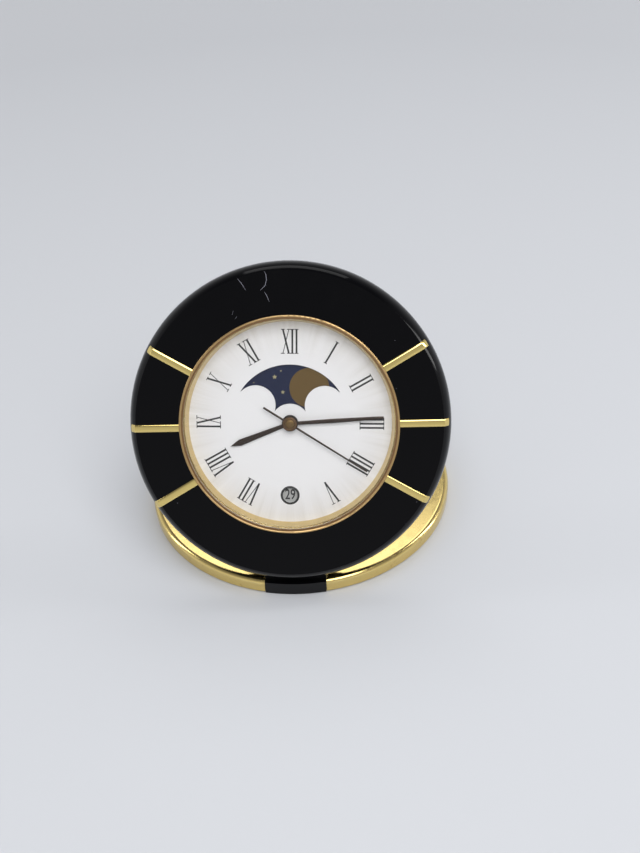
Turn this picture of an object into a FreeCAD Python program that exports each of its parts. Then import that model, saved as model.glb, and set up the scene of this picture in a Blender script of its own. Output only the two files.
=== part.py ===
"""Folding desk clock with calendar and moon phase: a round lacquered head that leans back over a gilt foot.

Millimetres, +Z up.  The origin is the centre of the foot on the table, and the dial looks towards -Y.
The head is drawn flat in a frame of its own (X right, Y up the dial, Z towards the reader, 0 at its rearmost
face) and is then turned about X by the opening angle, so that its hinge axis meets the one in the foot.
"""
import FreeCAD, Part
import math
import os
import Sketcher

Vector = FreeCAD.Vector
X_AXIS = Vector(1, 0, 0)
Y_AXIS = Vector(0, 1, 0)
Z_AXIS = Vector(0, 0, 1)

# name and size of every driving dimension, in millimetres, with angles in degrees
SIZES = [
    # foot
    ("foot_overhang", 1.7),
    ("foot_height", 3.8),
    ("foot_lift", 0.2),
    ("foot_floor", 1.0),
    ("foot_edge", 1.4),
    ("foot_chamfer", 0.3),
    ("pad_inset", 1.1),
    ("pad_thick", 0.6),
    ("lining_thick", 0.4),
    ("recess_clear", 0.9),
    ("lining_clear", 0.1),
    # hinge
    ("opening_angle", 61.0),
    ("dial_turn", 1.75),
    ("axis_inset", 2.2),
    ("axis_rise", 1.4),
    ("closed_gap", 0.8),
    ("block_width", 14.7),
    ("block_clear", 0.1),
    ("block_toe", 0.3),
    ("block_heel", 2.2),
    ("block_drop", 0.2),
    ("knuckle_radius", 1.9),
    ("knuckle_clear", 0.2),
    ("pin_radius", 0.6),
    ("pin_clear", 0.05),
    ("pin_grip", 1.5),
    ("washer_thick", 0.3),
    ("washer_radius", 1.5),
    ("washer_clear", 0.1),
    ("block_screw_radius", 0.6),
    ("block_screw_head", 1.1),
    ("block_screw_sink", 0.5),
    ("block_screw_bite", 1.6),
    ("block_screw_space", 8.0),
    # lacquered head
    ("rim_width", 12.3),
    ("rim_inset", 2.0),
    ("rim_drop", 4.5),
    ("back_round", 1.2),
    ("web_ledge", 2.7),
    ("web_thick", 0.8),
    ("cavity_step", 2.0),
    ("boss_height", 2.0),
    ("bar_width", 1.8),
    ("bar_sink", 1.2),
    ("bar_rise", 0.25),
    # bezel, crystal and dial
    ("bezel_lip", 0.25),
    ("bezel_wall", 0.25),
    ("bezel_fit", 0.02),
    ("bezel_rise", 0.35),
    ("gasket_width", 0.4),
    ("gasket_drop", 0.15),
    ("crystal_rise", 0.25),
    ("crystal_thick", 1.5),
    ("crystal_chamfer", 0.25),
    ("rehaut_lip", 0.25),
    ("rehaut_slope", 0.6),
    ("rehaut_fit", 0.05),
    ("dial_depth", 3.9),
    ("dial_thick", 0.4),
    ("dial_clear", 0.1),
    ("dial_hole", 1.9),
    ("date_window_radius", 1.75),
    ("date_window_inset", 2.9),
    ("moon_cover", 0.6),
    ("moon_hump_radius", 4.65),
    ("moon_hump_side", 8.05),
    ("moon_hump_rise", 4.1),
    ("moon_centre_radius", 4.5),
    ("moon_mask_side", 12.2),
    ("moon_mask_rise", 8.0),
    # calendar rings and movement
    ("calendar_gap", 0.15),
    ("ring_thick", 0.3),
    ("ring_clear", 0.1),
    ("date_band", 4.9),
    ("date_tooth", 0.45),
    ("moon_gap", 0.55),
    ("moon_tooth", 0.3),
    ("disc_clear", 0.08),
    ("plate_radius", 21.5),
    ("plate_rim", 1.2),
    ("plate_floor", 0.6),
    ("works_margin", 0.45),
    ("holder_wall", 0.85),
    ("holder_lip", 0.4),
    ("holder_fit", 0.05),
    ("work_wheel_thick", 0.3),
    ("work_wheel_gap", 0.1),
    ("train_wheel_thick", 0.2),
    ("train_wheel_gap", 0.15),
    # distances between arbors
    ("work_distance", 4.8),
    ("day_distance", 6.0),
    ("step_distance", 5.3),
    ("rotor_distance", 3.96),
    ("third_distance", 5.4),
    # bridge over the train
    ("bridge_thick", 0.55),
    ("bridge_margin", 1.6),
    ("bridge_low", 2.2),
    ("bridge_arm", 2.0),
    ("bridge_lug", 1.2),
    ("bridge_screw_radius", 0.4),
    ("bridge_screw_head", 0.8),
    ("bridge_screw_rise", 0.3),
    ("lug_left", 11.0),
    ("lug_left_rise", 3.4),
    ("lug_right", 5.8),
    ("lug_right_rise", 9.0),
    ("lug_foot", 1.5),
    ("lug_foot_drop", 6.6),
    ("pivot_radius", 0.2),
    ("pivot_clear", 0.04),
    # arbors on the middle axis, one inside the other
    ("second_arbor", 0.25),
    ("centre_tube_clear", 0.05),
    ("centre_tube_wall", 0.2),
    ("cannon_clear", 0.03),
    ("cannon_wall", 0.37),
    ("hour_clear", 0.05),
    ("hour_wall", 0.5),
    ("hour_hand_lift", 0.4),
    ("hand_gap", 0.3),
    ("hand_thick", 0.18),
    ("hand_boss", 0.45),
    ("hour_reach", 15.0),
    ("hour_width", 1.6),
    ("minute_reach", 21.8),
    ("minute_width", 1.0),
    ("second_reach", 21.2),
    ("second_tail", 7.2),
    ("second_width", 0.48),
    ("second_tip_share", 0.75),
    ("cap_radius", 1.65),
    ("cap_edge", 0.15),
    ("cap_height", 0.5),
    # electric parts
    ("battery_radius", 4.75),
    ("battery_thick", 2.05),
    ("battery_left", 9.0),
    ("battery_drop", 12.0),
    ("battery_gap", 0.1),
    ("contact_thick", 0.15),
    ("contact_width", 1.6),
    ("contact_reach", 2.5),
    ("contact_clear", 0.1),
    ("board_thick", 0.3),
    ("board_left", 2.0),
    ("board_length", 13.0),
    ("board_width", 9.8),
    ("board_drop", 18.0),
    ("chip_size", 3.5),
    ("chip_inset", 2.0),
    ("can_radius", 0.75),
    ("can_length", 6.0),
    ("can_inset", 1.0),
    ("coil_radius", 0.9),
    ("coil_length", 6.4),
    ("coil_rise", 6.3),
    ("coil_shift", 0.7),
    ("core_width", 1.4),
    ("core_thick", 0.5),
    ("stator_bar", 1.2),
    ("magnet_radius", 0.9),
    ("magnet_gap", 0.25),
    ("stator_wall", 0.85),
    # rear housing and its controls
    ("housing_fit", 0.1),
    ("housing_wall", 1.2),
    ("housing_back", 0.6),
    ("housing_edge", 0.5),
    ("housing_post", 1.9),
    ("housing_post_inset", 2.2),
    ("housing_screw_radius", 0.7),
    ("housing_screw_head", 1.3),
    ("housing_screw_rise", 0.6),
    ("housing_screw_sink", 0.1),
    ("housing_screw_bite", 0.5),
    ("knob_radius", 3.0),
    ("knob_height", 1.2),
    ("knob_clear", 0.25),
    ("knob_stem", 0.5),
    ("knob_slot_width", 0.8),
    ("knob_slot_depth", 0.5),
    ("knob_slot_margin", 0.8),
    ("cover_margin", 0.85),
    ("cover_clear", 0.12),
    ("cover_skirt_step", 0.4),
    ("cover_lug", 0.7),
    ("cover_lug_thick", 0.2),
    ("corrector_left", 15.0),
    ("date_corrector_rise", 6.0),
    ("moon_corrector_drop", 1.0),
    ("corrector_radius", 0.9),
    ("corrector_flange", 1.4),
    ("corrector_flange_thick", 0.3),
    ("corrector_length", 1.6),
    ("corrector_travel", 0.6),
    ("corrector_clear", 0.1),
    ("spring_thick", 0.12),
    ("spring_width", 1.6),
    ("spring_length", 4.5),
]

# angles on the dial, in degrees anticlockwise from 3 o'clock, of the six gilt bars
BAR_ANGLES = [0, 30, 150, 180, 210, 330]
# clock angles of the hands at rest, in degrees clockwise from the dial's 12 o'clock: 14 minutes past eight
HOUR_ANGLE = 248.0
MINUTE_ANGLE = 85.7
SECOND_ANGLE = 121.6

# tooth counts: twelve turns of the minute hand to one of the hour hand
CANNON_TEETH = 12
MINUTE_WHEEL_TEETH = 36
MINUTE_PINION_TEETH = 10
HOUR_WHEEL_TEETH = 40
HOUR_PINION_TEETH = 20
DAY_WHEEL_TEETH = 40
SETTING_TEETH = 12
# and thirty turns of the rotor, or one of the second hand, to a sixtieth of a turn of the centre wheel
ROTOR_TEETH = 6
STEP_WHEEL_TEETH = 60
STEP_PINION_TEETH = 10
SECOND_WHEEL_TEETH = 30
SECOND_PINION_TEETH = 8
THIRD_WHEEL_TEETH = 64
THIRD_PINION_TEETH = 8
CENTRE_WHEEL_TEETH = 60
# days on the date ring, and days in two moons on the moon disc
DATE_TEETH = 31
MOON_TEETH = 59

# directions in which the trains run on the movement, in degrees
STEP_DIRECTION = 50
ROTOR_DIRECTION = 20
THIRD_DIRECTION = 180
DAY_DIRECTION = 180

doc = FreeCAD.newDocument("desk_clock")
sheet = doc.addObject("Spreadsheet::Sheet", "Sizes")
nodes = []


class Size:
    """A length together with the spreadsheet expression it comes from, so that one sum serves both."""

    def __init__(self, value, text):
        self.value = value
        self.text = text

    def __float__(self):
        return float(self.value)

    def __add__(self, other):
        return Size(self.value + float(other), f"({self.text} + {words(other)})")

    def __radd__(self, other):
        return Size(float(other) + self.value, f"({words(other)} + {self.text})")

    def __sub__(self, other):
        return Size(self.value - float(other), f"({self.text} - {words(other)})")

    def __rsub__(self, other):
        return Size(float(other) - self.value, f"({words(other)} - {self.text})")

    def __mul__(self, other):
        return Size(self.value * float(other), f"({self.text} * {words(other)})")

    __rmul__ = __mul__

    def __truediv__(self, other):
        return Size(self.value / float(other), f"({self.text} / {words(other)})")

    def __neg__(self):
        return Size(-self.value, f"(0 - {self.text})")


def words(value):
    """The expression text of a Size, or of a plain number."""
    if isinstance(value, Size):
        return value.text
    return f"({float(value):.9f})"


class Sheet:
    """The driving dimensions by name."""


s = Sheet()
for row, (name, value) in enumerate(SIZES, start=1):
    sheet.set(f"A{row}", name)
    sheet.set(f"B{row}", str(value))
    sheet.setAlias(f"B{row}", name)
    setattr(s, name, Size(value, f"Sizes.{name}"))
doc.recompute()


def bind(thing, prop, size):
    """Set a property from a Size, and leave its expression on it."""
    if isinstance(size, Size):
        thing.setExpression(prop, size.text)
        return
    if prop.startswith("Placement.Base."):
        thing.setExpression(prop, words(size))
        return
    setattr(thing, prop, size)


def arc_centre(start, end, radius):
    """Centre of the anticlockwise arc of a radius from start to end, which lies to the left of its chord."""
    chord = end - start
    half = chord.Length / 2
    reach = math.sqrt(max(radius * radius - half * half, 0.0))
    left = Vector(-chord.y, chord.x, 0).normalize()
    return (start + end) / 2 + left * reach


def draw(sketch, corners):
    """Closed outline, anticlockwise; a corner with a third value is reached by an arc of that radius."""
    points = [Vector(float(corner[0]), float(corner[1]), 0) for corner in corners]
    count = len(points)
    for i in range(count):
        start = points[i]
        end = points[(i + 1) % count]
        target = corners[(i + 1) % count]
        if len(target) == 2:
            sketch.addGeometry(Part.LineSegment(start, end), False)
            continue
        centre = arc_centre(start, end, float(target[2]))
        first = math.atan2(start.y - centre.y, start.x - centre.x)
        last = math.atan2(end.y - centre.y, end.x - centre.x)
        if last < first:
            last += 2 * math.pi
        circle = Part.Circle(centre, Z_AXIS, float(target[2]))
        sketch.addGeometry(Part.ArcOfCircle(circle, first, last), False)
    for i in range(count):
        sketch.addConstraint(Sketcher.Constraint("Coincident", i, 2, (i + 1) % count, 1))
    for i, corner in enumerate(corners):
        place_corner(sketch, i, corner)
        if len(corner) == 3:
            radius = Sketcher.Constraint("Radius", (i - 1) % count, float(corner[2]))
            sketch.setExpression(f"Constraints[{sketch.addConstraint(radius)}]", words(corner[2]))


def place_corner(sketch, i, corner):
    """Hold the start of edge i at its two coordinates, or on an axis where a coordinate is a plain 0."""
    for kind, axis, size in (("DistanceX", -2, corner[0]), ("DistanceY", -1, corner[1])):
        if not isinstance(size, Size) and size == 0:
            sketch.addConstraint(Sketcher.Constraint("PointOnObject", i, 1, axis))
            continue
        index = sketch.addConstraint(Sketcher.Constraint(kind, -1, 1, i, 1, float(size)))
        sketch.setExpression(f"Constraints[{index}]", words(size))


def sketch_on(body, role, corners):
    """A sketch of the corners on one of the body's own origin planes."""
    sketch = body.newObject("Sketcher::SketchObject", body.Name + "_outline")
    plane = [plane for plane in body.Origin.OriginFeatures if plane.Role == role][0]
    sketch.AttachmentSupport = [(plane, "")]
    sketch.MapMode = "FlatFace"
    draw(sketch, corners)
    return sketch


def turned(name, corners):
    """A solid turned about Z from an outline of (radius, height) corners."""
    body = doc.addObject("PartDesign::Body", name)
    sketch = sketch_on(body, "XZ_Plane", corners)
    turn = body.newObject("PartDesign::Revolution", name + "_turn")
    turn.Profile = sketch
    turn.ReferenceAxis = (sketch, ["V_Axis"])
    turn.Angle = 360
    sketch.Visibility = False
    return body


def padded(name, corners, bottom, thick):
    """A flat solid with an outline of (x, y) corners, from bottom up."""
    body = doc.addObject("PartDesign::Body", name)
    sketch = sketch_on(body, "XY_Plane", corners)
    sketch.setExpression("AttachmentOffset.Base.z", words(bottom))
    pad = body.newObject("PartDesign::Pad", name + "_pad")
    pad.Profile = sketch
    pad.setExpression("Length", words(thick))
    sketch.Visibility = False
    return body


def cylinder(name, radius, bottom, height, x=0, y=0):
    """An upright cylinder."""
    rod = doc.addObject("Part::Cylinder", name)
    bind(rod, "Radius", radius)
    bind(rod, "Height", height)
    bind(rod, "Placement.Base.x", x)
    bind(rod, "Placement.Base.y", y)
    bind(rod, "Placement.Base.z", bottom)
    return rod


def cross_cylinder(name, radius, half_length, y, z):
    """A cylinder along X, centred on the middle plane."""
    rod = doc.addObject("Part::Cylinder", name)
    bind(rod, "Radius", radius)
    bind(rod, "Height", half_length * 2)
    rod.Placement.Rotation = FreeCAD.Rotation(Y_AXIS, 90)
    bind(rod, "Placement.Base.x", -half_length)
    bind(rod, "Placement.Base.y", y)
    bind(rod, "Placement.Base.z", z)
    return rod


def box(name, low, size):
    """A box from its low corner and its three lengths."""
    block = doc.addObject("Part::Box", name)
    for prop, length in zip(("Length", "Width", "Height"), size):
        bind(block, prop, length)
    for axis, place in zip("xyz", low):
        bind(block, "Placement.Base." + axis, place)
    return block


def radial_box(name, angle, inner, outer, width, bottom, height):
    """A box that runs outwards from the middle axis at an angle."""
    turn = math.radians(angle)
    block = doc.addObject("Part::Box", name)
    bind(block, "Length", outer - inner)
    bind(block, "Width", width)
    bind(block, "Height", height)
    block.Placement.Rotation = FreeCAD.Rotation(Z_AXIS, angle)
    bind(block, "Placement.Base.x", inner * math.cos(turn) + width * (math.sin(turn) / 2))
    bind(block, "Placement.Base.y", inner * math.sin(turn) - width * (math.cos(turn) / 2))
    bind(block, "Placement.Base.z", bottom)
    return block


def joined(name, pieces):
    """The union of several pieces."""
    union = doc.addObject("Part::MultiFuse", name)
    union.Shapes = pieces
    return union


def shared(name, pieces):
    """What several pieces have in common."""
    common = doc.addObject("Part::MultiCommon", name)
    common.Shapes = pieces
    return common


def cut(name, base, tools):
    """The base with the tools taken out of it."""
    tool = tools[0] if len(tools) == 1 else joined(name + "_tools", tools)
    result = doc.addObject("Part::Cut", name)
    result.Base = base
    result.Tool = tool
    return result


def group(name, pieces):
    """Separate like solids in one node."""
    together = doc.addObject("Part::Compound", name)
    together.Links = pieces
    return together


def keep(node, thing, place=None):
    """Give a finished sub-part its name and its place."""
    thing.Label = node
    if place is not None:
        thing.Placement = place
    nodes.append(thing)


def feature(name, shape):
    """A sub-part whose outline comes from a formula."""
    thing = doc.addObject("Part::Feature", name)
    thing.Shape = shape
    return thing


# radii, from the movement outwards, and its calendar inwards
holder_bore = s.plate_radius + s.holder_fit
web_bore = holder_bore + s.holder_wall + s.holder_fit * 2
front_bore = web_bore + s.web_ledge
cavity_radius = front_bore + s.cavity_step
case_radius = front_bore + s.rim_width
face_radius = case_radius - s.rim_inset
foot_radius = case_radius + s.foot_overhang
housing_radius = cavity_radius - s.housing_fit
recess_radius = housing_radius + s.recess_clear
screw_ring = housing_radius - s.housing_post_inset
bezel_radius = front_bore + s.bezel_lip
bezel_bore = front_bore - s.bezel_wall
crystal_radius = bezel_bore - s.gasket_width
rehaut_top = crystal_radius - s.rehaut_lip
rehaut_foot = rehaut_top - s.rehaut_slope
rim_bore = s.plate_radius - s.plate_rim
date_ring_radius = rim_bore - s.ring_clear
date_ring_bore = date_ring_radius - s.date_band
date_window_drop = date_ring_radius - s.date_window_inset
moon_disc_radius = date_ring_bore - s.date_tooth - s.moon_gap
moon_arch_radius = moon_disc_radius - s.moon_cover
centre_tube_bore = s.second_arbor + s.centre_tube_clear
centre_tube = centre_tube_bore + s.centre_tube_wall
cannon_bore = centre_tube + s.cannon_clear
cannon_pipe = cannon_bore + s.cannon_wall
hour_bore = cannon_pipe + s.hour_clear
hour_pipe = hour_bore + s.hour_wall

# the hinge axis lies inside the edge of the head, and as far from the middle of the foot when it is closed
axis_y = s.axis_inset - case_radius
pad_radius = case_radius - s.axis_inset - s.pad_inset
block_front_y = axis_y - s.block_toe
block_rear_y = axis_y + s.knuckle_radius + s.block_heel

# heights in the foot, above the table
pad_top = s.foot_lift + s.pad_thick
foot_floor_top = pad_top + s.foot_floor
axis_height = s.foot_height + s.closed_gap + s.axis_rise

# heights in the head, above its rearmost face: the cell sets the plate, and the plate the dial and the face
cell_low = s.housing_back + s.cover_lug_thick + s.battery_gap
cell_top = cell_low + s.battery_thick
plate_under = cell_top + s.contact_thick + s.contact_clear
pocket_floor = plate_under + s.plate_floor
work_step = s.work_wheel_thick + s.work_wheel_gap
plate_top = pocket_floor + work_step * 3 + s.work_wheel_gap
ring_under = plate_top + s.calendar_gap
ring_top = ring_under + s.ring_thick
dial_under = ring_top + s.calendar_gap
web_under = dial_under - s.web_thick
dial_top = dial_under + s.dial_thick
face = dial_top + s.dial_depth
rim_foot = face - s.rim_drop
axis_up = s.boss_height + s.axis_rise
train_step = s.train_wheel_thick + s.train_wheel_gap
bridge_top = plate_under - train_step * 4 - s.train_wheel_gap
bridge_under = bridge_top - s.bridge_thick
crystal_top = face + s.crystal_rise
crystal_under = crystal_top - s.crystal_thick
hour_hand_low = dial_top + s.hour_hand_lift
minute_hand_low = hour_hand_low + s.hand_thick + s.hand_gap
second_hand_low = minute_hand_low + s.hand_thick + s.hand_gap

# levels of the wheels: under the dial from the pocket's floor up, and in the train from the bridge up
cannon_level = pocket_floor + s.work_wheel_gap
hour_level = cannon_level + work_step
day_level = hour_level + work_step
step_level = bridge_top + s.train_wheel_gap
second_level = step_level + train_step
third_level = second_level + train_step
centre_level = third_level + train_step

ANGLE = float(s.opening_angle)


def head_place():
    """Turn the head about its hinge axis by the opening angle, and set that axis on the one in the foot."""
    turn = FreeCAD.Rotation(X_AXIS, ANGLE)
    arm = turn.multVec(Vector(0, float(axis_y), float(axis_up)))
    return FreeCAD.Placement(Vector(0, float(axis_y), float(axis_height)) - arm, turn)


HEAD = head_place()
# the dial sits a little clockwise of the bars in the case
DIAL_TURN = float(s.dial_turn)
DIAL = HEAD.multiply(FreeCAD.Placement(Vector(0, 0, 0), FreeCAD.Rotation(Z_AXIS, -DIAL_TURN)))


def polar(radius, degrees):
    """X and Y at a radius and an angle from 3 o'clock."""
    turn = math.radians(degrees)
    return (radius * math.cos(turn), radius * math.sin(turn))


# Foot

def foot_shell():
    """Gilt dish: a broad flat rim round the recess for the rear housing, notched in front for the hinge."""
    top = s.foot_height
    low = s.foot_lift
    outline = [
        (0, pad_top),
        (pad_radius, pad_top),
        (pad_radius, low),
        (foot_radius - s.foot_chamfer, low),
        (foot_radius, low + s.foot_chamfer),
        (foot_radius, top - s.foot_edge),
        (foot_radius - s.foot_edge, top, s.foot_edge),
        (recess_radius + s.foot_chamfer, top),
        (recess_radius, top - s.foot_chamfer),
        (recess_radius, foot_floor_top),
        (0, foot_floor_top),
    ]
    dish = turned("foot_dish", outline)
    notch_width = s.block_width + s.block_clear * 2
    front = box(
        "front_notch",
        (notch_width / -2, -foot_radius * 2, 0),
        (notch_width, foot_radius * 2 + block_front_y + s.block_clear, s.foot_height * 2),
    )
    shelf = box(
        "shelf_notch",
        (notch_width / -2, -foot_radius * 2, foot_floor_top),
        (notch_width, foot_radius * 2 + block_rear_y + s.block_clear, s.foot_height * 2),
    )
    holes = []
    for side in (-1, 1):
        holes.append(cylinder(f"block_hole_{side + 2}", s.block_screw_radius, 0, s.foot_height,
                              s.block_screw_space * (side / 2), block_screw_y))
        holes.append(cylinder(f"block_sink_{side + 2}", s.block_screw_head, 0, pad_top + s.block_screw_sink,
                              s.block_screw_space * (side / 2), block_screw_y))
    keep("foot_shell", cut("foot_shell", dish, [front, shelf] + holes))


block_screw_y = block_rear_y - s.block_screw_head


def foot_pad():
    """Felt disc let into the underside, which stands a little proud and is what the clock rests on."""
    keep("foot_pad", cylinder("foot_pad", pad_radius - s.lining_clear, 0, pad_top))


def recess_lining():
    """Flocked disc on the floor of the recess."""
    radius = recess_radius - s.lining_clear
    keep("recess_lining", cylinder("recess_lining", radius, foot_floor_top, s.lining_thick))


def hinge_block():
    """Black block that fills the notch, its front face on the foot's own circle, with the knuckle on top."""
    half = s.block_width / 2
    top = s.foot_height - s.block_drop
    front = box(
        "block_front_body",
        (-half, -foot_radius * 2, s.foot_lift),
        (s.block_width, foot_radius * 2 + block_front_y, top - s.foot_lift),
    )
    rear = box(
        "block_rear_body",
        (-half, -foot_radius * 2, foot_floor_top),
        (s.block_width, foot_radius * 2 + block_rear_y, top - foot_floor_top),
    )
    web = box(
        "block_web",
        (-half, axis_y - s.knuckle_radius, foot_floor_top),
        (s.block_width, s.knuckle_radius * 2, axis_height - foot_floor_top),
    )
    knuckle = cross_cylinder("block_knuckle", s.knuckle_radius, half, axis_y, axis_height)
    round_front = cylinder("block_round", foot_radius, 0, s.foot_height * 3)
    body = shared("block_body", [joined("block_mass", [front, rear, web, knuckle]), round_front])
    tools = [cross_cylinder("block_bore", s.pin_radius, half * 2, axis_y, axis_height)]
    for side in (-1, 1):
        tools.append(cylinder(f"block_thread_{side + 2}", s.block_screw_radius, 0,
                              foot_floor_top + s.block_screw_bite, s.block_screw_space * (side / 2),
                              block_screw_y))
    keep("hinge_block", cut("hinge_block", body, tools))


def hinge_pin():
    """Steel pin through the knuckle, with its ends in the head."""
    length = s.block_width / 2 + s.washer_thick + s.washer_clear + s.pin_grip
    keep("hinge_pin", cross_cylinder("hinge_pin", s.pin_radius, length, axis_y, axis_height))


def hinge_washers():
    """Spring washers at both ends of the knuckle, whose friction holds the head where it is put."""
    rings = []
    for side in (-1, 1):
        start = s.block_width / 2
        low = start if side > 0 else -start - s.washer_thick
        disc = doc.addObject("Part::Cylinder", f"washer_disc_{side + 2}")
        bore = doc.addObject("Part::Cylinder", f"washer_bore_{side + 2}")
        for rod, radius in ((disc, s.washer_radius), (bore, s.pin_radius)):
            bind(rod, "Radius", radius)
            bind(rod, "Height", s.washer_thick)
            rod.Placement.Rotation = FreeCAD.Rotation(Y_AXIS, 90)
            bind(rod, "Placement.Base.x", low)
            bind(rod, "Placement.Base.y", axis_y)
            bind(rod, "Placement.Base.z", axis_height)
        rings.append(cut(f"washer_{side + 2}", disc, [bore]))
    keep("hinge_washers", group("hinge_washers", rings))


def hinge_screws():
    """Two screws up through the foot into the block, their heads sunk above the felt."""
    screws = []
    for side in (-1, 1):
        x = s.block_screw_space * (side / 2)
        head = cylinder(f"hinge_screw_head_{side + 2}", s.block_screw_head - s.lining_clear, pad_top,
                        s.block_screw_sink, x, block_screw_y)
        shank = cylinder(f"hinge_screw_shank_{side + 2}", s.block_screw_radius, pad_top,
                         s.foot_floor + s.block_screw_bite, x, block_screw_y)
        screws.append(joined(f"hinge_screw_{side + 2}", [head, shank]))
    keep("hinge_screws", group("hinge_screws", screws))


# Lacquered head

def rim_curve(grow):
    """Radius of the arc that leaves the side of the head squarely and ends on its front face."""
    across = case_radius + grow - face_radius
    down = s.rim_drop + grow
    return (across * across + down * down) / (across * 2)


def lacquered_case():
    """Thick lacquered ring with a curved rim, slots for the bars, and a notch and ears for the hinge."""
    outline = [
        (front_bore, dial_under),
        (web_bore, dial_under),
        (web_bore, web_under),
        (cavity_radius, web_under),
        (cavity_radius, s.boss_height),
        (case_radius - s.back_round, s.boss_height),
        (case_radius, s.boss_height + s.back_round, s.back_round),
        (case_radius, rim_foot),
        (face_radius, face, rim_curve(0)),
        (front_bore, face),
    ]
    ring = turned("case_ring", outline)
    half = s.block_width / 2 + s.washer_thick + s.washer_clear
    reach = s.knuckle_radius + s.knuckle_clear
    notch = box(
        "case_notch",
        (-half, axis_y - case_radius, 0),
        (half * 2, case_radius + reach, axis_up + reach),
    )
    bore = cross_cylinder("ear_bore", s.pin_radius + s.pin_clear, half + s.pin_grip + s.washer_clear,
                          axis_y, axis_up)
    tools = [notch, bore]
    for i, angle in enumerate(BAR_ANGLES, start=1):
        tools.append(radial_box(f"bar_slot_{i}", angle, web_bore, case_radius * 1.2, s.bar_width,
                                face - s.bar_sink, s.bar_sink * 2))
    for i in range(4):
        x, y = polar(screw_ring, 45 + 90 * i)
        tools.append(cylinder(f"case_thread_{i + 1}", s.housing_screw_radius, web_under - s.web_thick,
                              s.web_thick + s.housing_screw_bite, x, y))
    keep("lacquered_case", cut("lacquered_case", ring, tools), HEAD)


def inlay_bars():
    """Six gilt bars let into the face, which follow its curved rim and stand a little proud of it."""
    rise = s.bar_rise
    outline = [
        (0, rim_foot),
        (case_radius + rise, rim_foot),
        (face_radius, face + rise, rim_curve(rise)),
        (0, face + rise),
    ]
    skin = turned("bar_skin", outline)
    for i, angle in enumerate(BAR_ANGLES, start=1):
        strip = radial_box(f"bar_strip_{i}", angle, bezel_radius, case_radius * 1.2, s.bar_width,
                           face - s.bar_sink, s.bar_sink * 2)
        keep(f"inlay_bar_{i}", shared(f"inlay_bar_{i}", [skin, strip]), HEAD)


def bezel():
    """Gilt ring: a rounded bead over the edge of the face, and a thin tube down the bore to the dial."""
    tube = front_bore - s.bezel_fit
    shoulder = face + s.bezel_rise / 2
    width = bezel_radius - bezel_bore
    outline = [
        (bezel_bore, dial_top),
        (tube, dial_top),
        (tube, face),
        (bezel_radius, face),
        (bezel_radius, shoulder),
        (bezel_bore, shoulder, width * 0.6),
    ]
    keep("bezel", turned("bezel", outline), HEAD)


def crystal_gasket():
    """Dark ring that seals the crystal in the bezel."""
    top = crystal_top - s.gasket_drop
    outline = [
        (crystal_radius, crystal_under),
        (bezel_bore, crystal_under),
        (bezel_bore, top),
        (crystal_radius, top),
    ]
    keep("crystal_gasket", turned("crystal_gasket", outline), HEAD)


def crystal():
    """Flat mineral glass with a bevelled front edge."""
    bevel = s.crystal_chamfer
    outline = [
        (0, crystal_under),
        (crystal_radius, crystal_under),
        (crystal_radius, crystal_top - bevel),
        (crystal_radius - bevel, crystal_top),
        (0, crystal_top),
    ]
    keep("crystal", turned("crystal", outline), HEAD)


def rehaut_ring():
    """Gilt ring between crystal and dial, whose inner side slopes in towards the dial."""
    outside = bezel_bore - s.rehaut_fit
    outline = [
        (rehaut_foot, dial_top),
        (outside, dial_top),
        (outside, crystal_under),
        (rehaut_top, crystal_under),
    ]
    keep("rehaut_ring", turned("rehaut_ring", outline), HEAD)


def dial():
    """Dial plate with its date window and the moon's arched opening between two humps."""
    plate = cylinder("dial_plate", front_bore - s.dial_clear, dial_under, s.dial_thick)
    low = dial_under - s.dial_thick
    high = s.dial_thick * 3
    hole = cylinder("dial_centre_hole", s.dial_hole, low, high)
    window = cylinder("dial_date_window", s.date_window_radius, low, high, 0, -date_window_drop)
    mask = padded(
        "moon_mask",
        [
            (0, 0),
            (s.moon_hump_side, s.moon_hump_rise),
            (s.moon_mask_side, s.moon_mask_rise),
            (s.moon_mask_side, moon_arch_radius + s.dial_hole),
            (-s.moon_mask_side, moon_arch_radius + s.dial_hole),
            (-s.moon_mask_side, s.moon_mask_rise),
            (-s.moon_hump_side, s.moon_hump_rise),
        ],
        low,
        high,
    )
    arch = cylinder("moon_arch", moon_arch_radius, low, high)
    humps = [
        cylinder("moon_hump_right", s.moon_hump_radius, low, high, s.moon_hump_side, s.moon_hump_rise),
        cylinder("moon_hump_left", s.moon_hump_radius, low, high, -s.moon_hump_side, s.moon_hump_rise),
        cylinder("moon_hump_middle", s.moon_centre_radius, low, high),
    ]
    opening = cut("moon_opening", shared("moon_arch_field", [mask, arch]), humps)
    keep("dial", cut("dial", plate, [hole, window, opening]), DIAL)


# Toothed wheels, whose outlines come from a formula

TIP_SHARE = 0.75
ROOT_SHARE = 1.05
TIP_HALF = 0.20
ROOT_HALF = 0.52


def toothed(teeth, pitch_radius, bottom, thick, phase, centre=(0, 0)):
    """Disc with straight-sided teeth that narrow from root to tip; one tooth stands at the phase angle."""
    module = 2 * pitch_radius / teeth
    root = pitch_radius - ROOT_SHARE * module
    tip = pitch_radius + TIP_SHARE * module
    half_pitch = math.pi / teeth
    points = []
    for k in range(teeth):
        middle = phase + 2 * half_pitch * k
        for radius, share in ((root, -ROOT_HALF), (tip, -TIP_HALF), (tip, TIP_HALF), (root, ROOT_HALF)):
            turn = middle + share * half_pitch
            points.append(Vector(centre[0] + radius * math.cos(turn), centre[1] + radius * math.sin(turn),
                                 float(bottom)))
    points.append(points[0])
    return Part.Face(Part.makePolygon(points)).extrude(Vector(0, 0, float(thick)))


def rod(radius, bottom, top, centre=(0, 0)):
    """Round length of an arbor or pipe between two heights."""
    foot = Vector(centre[0], centre[1], float(bottom))
    return Part.makeCylinder(float(radius), float(top) - float(bottom), foot)


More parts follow.
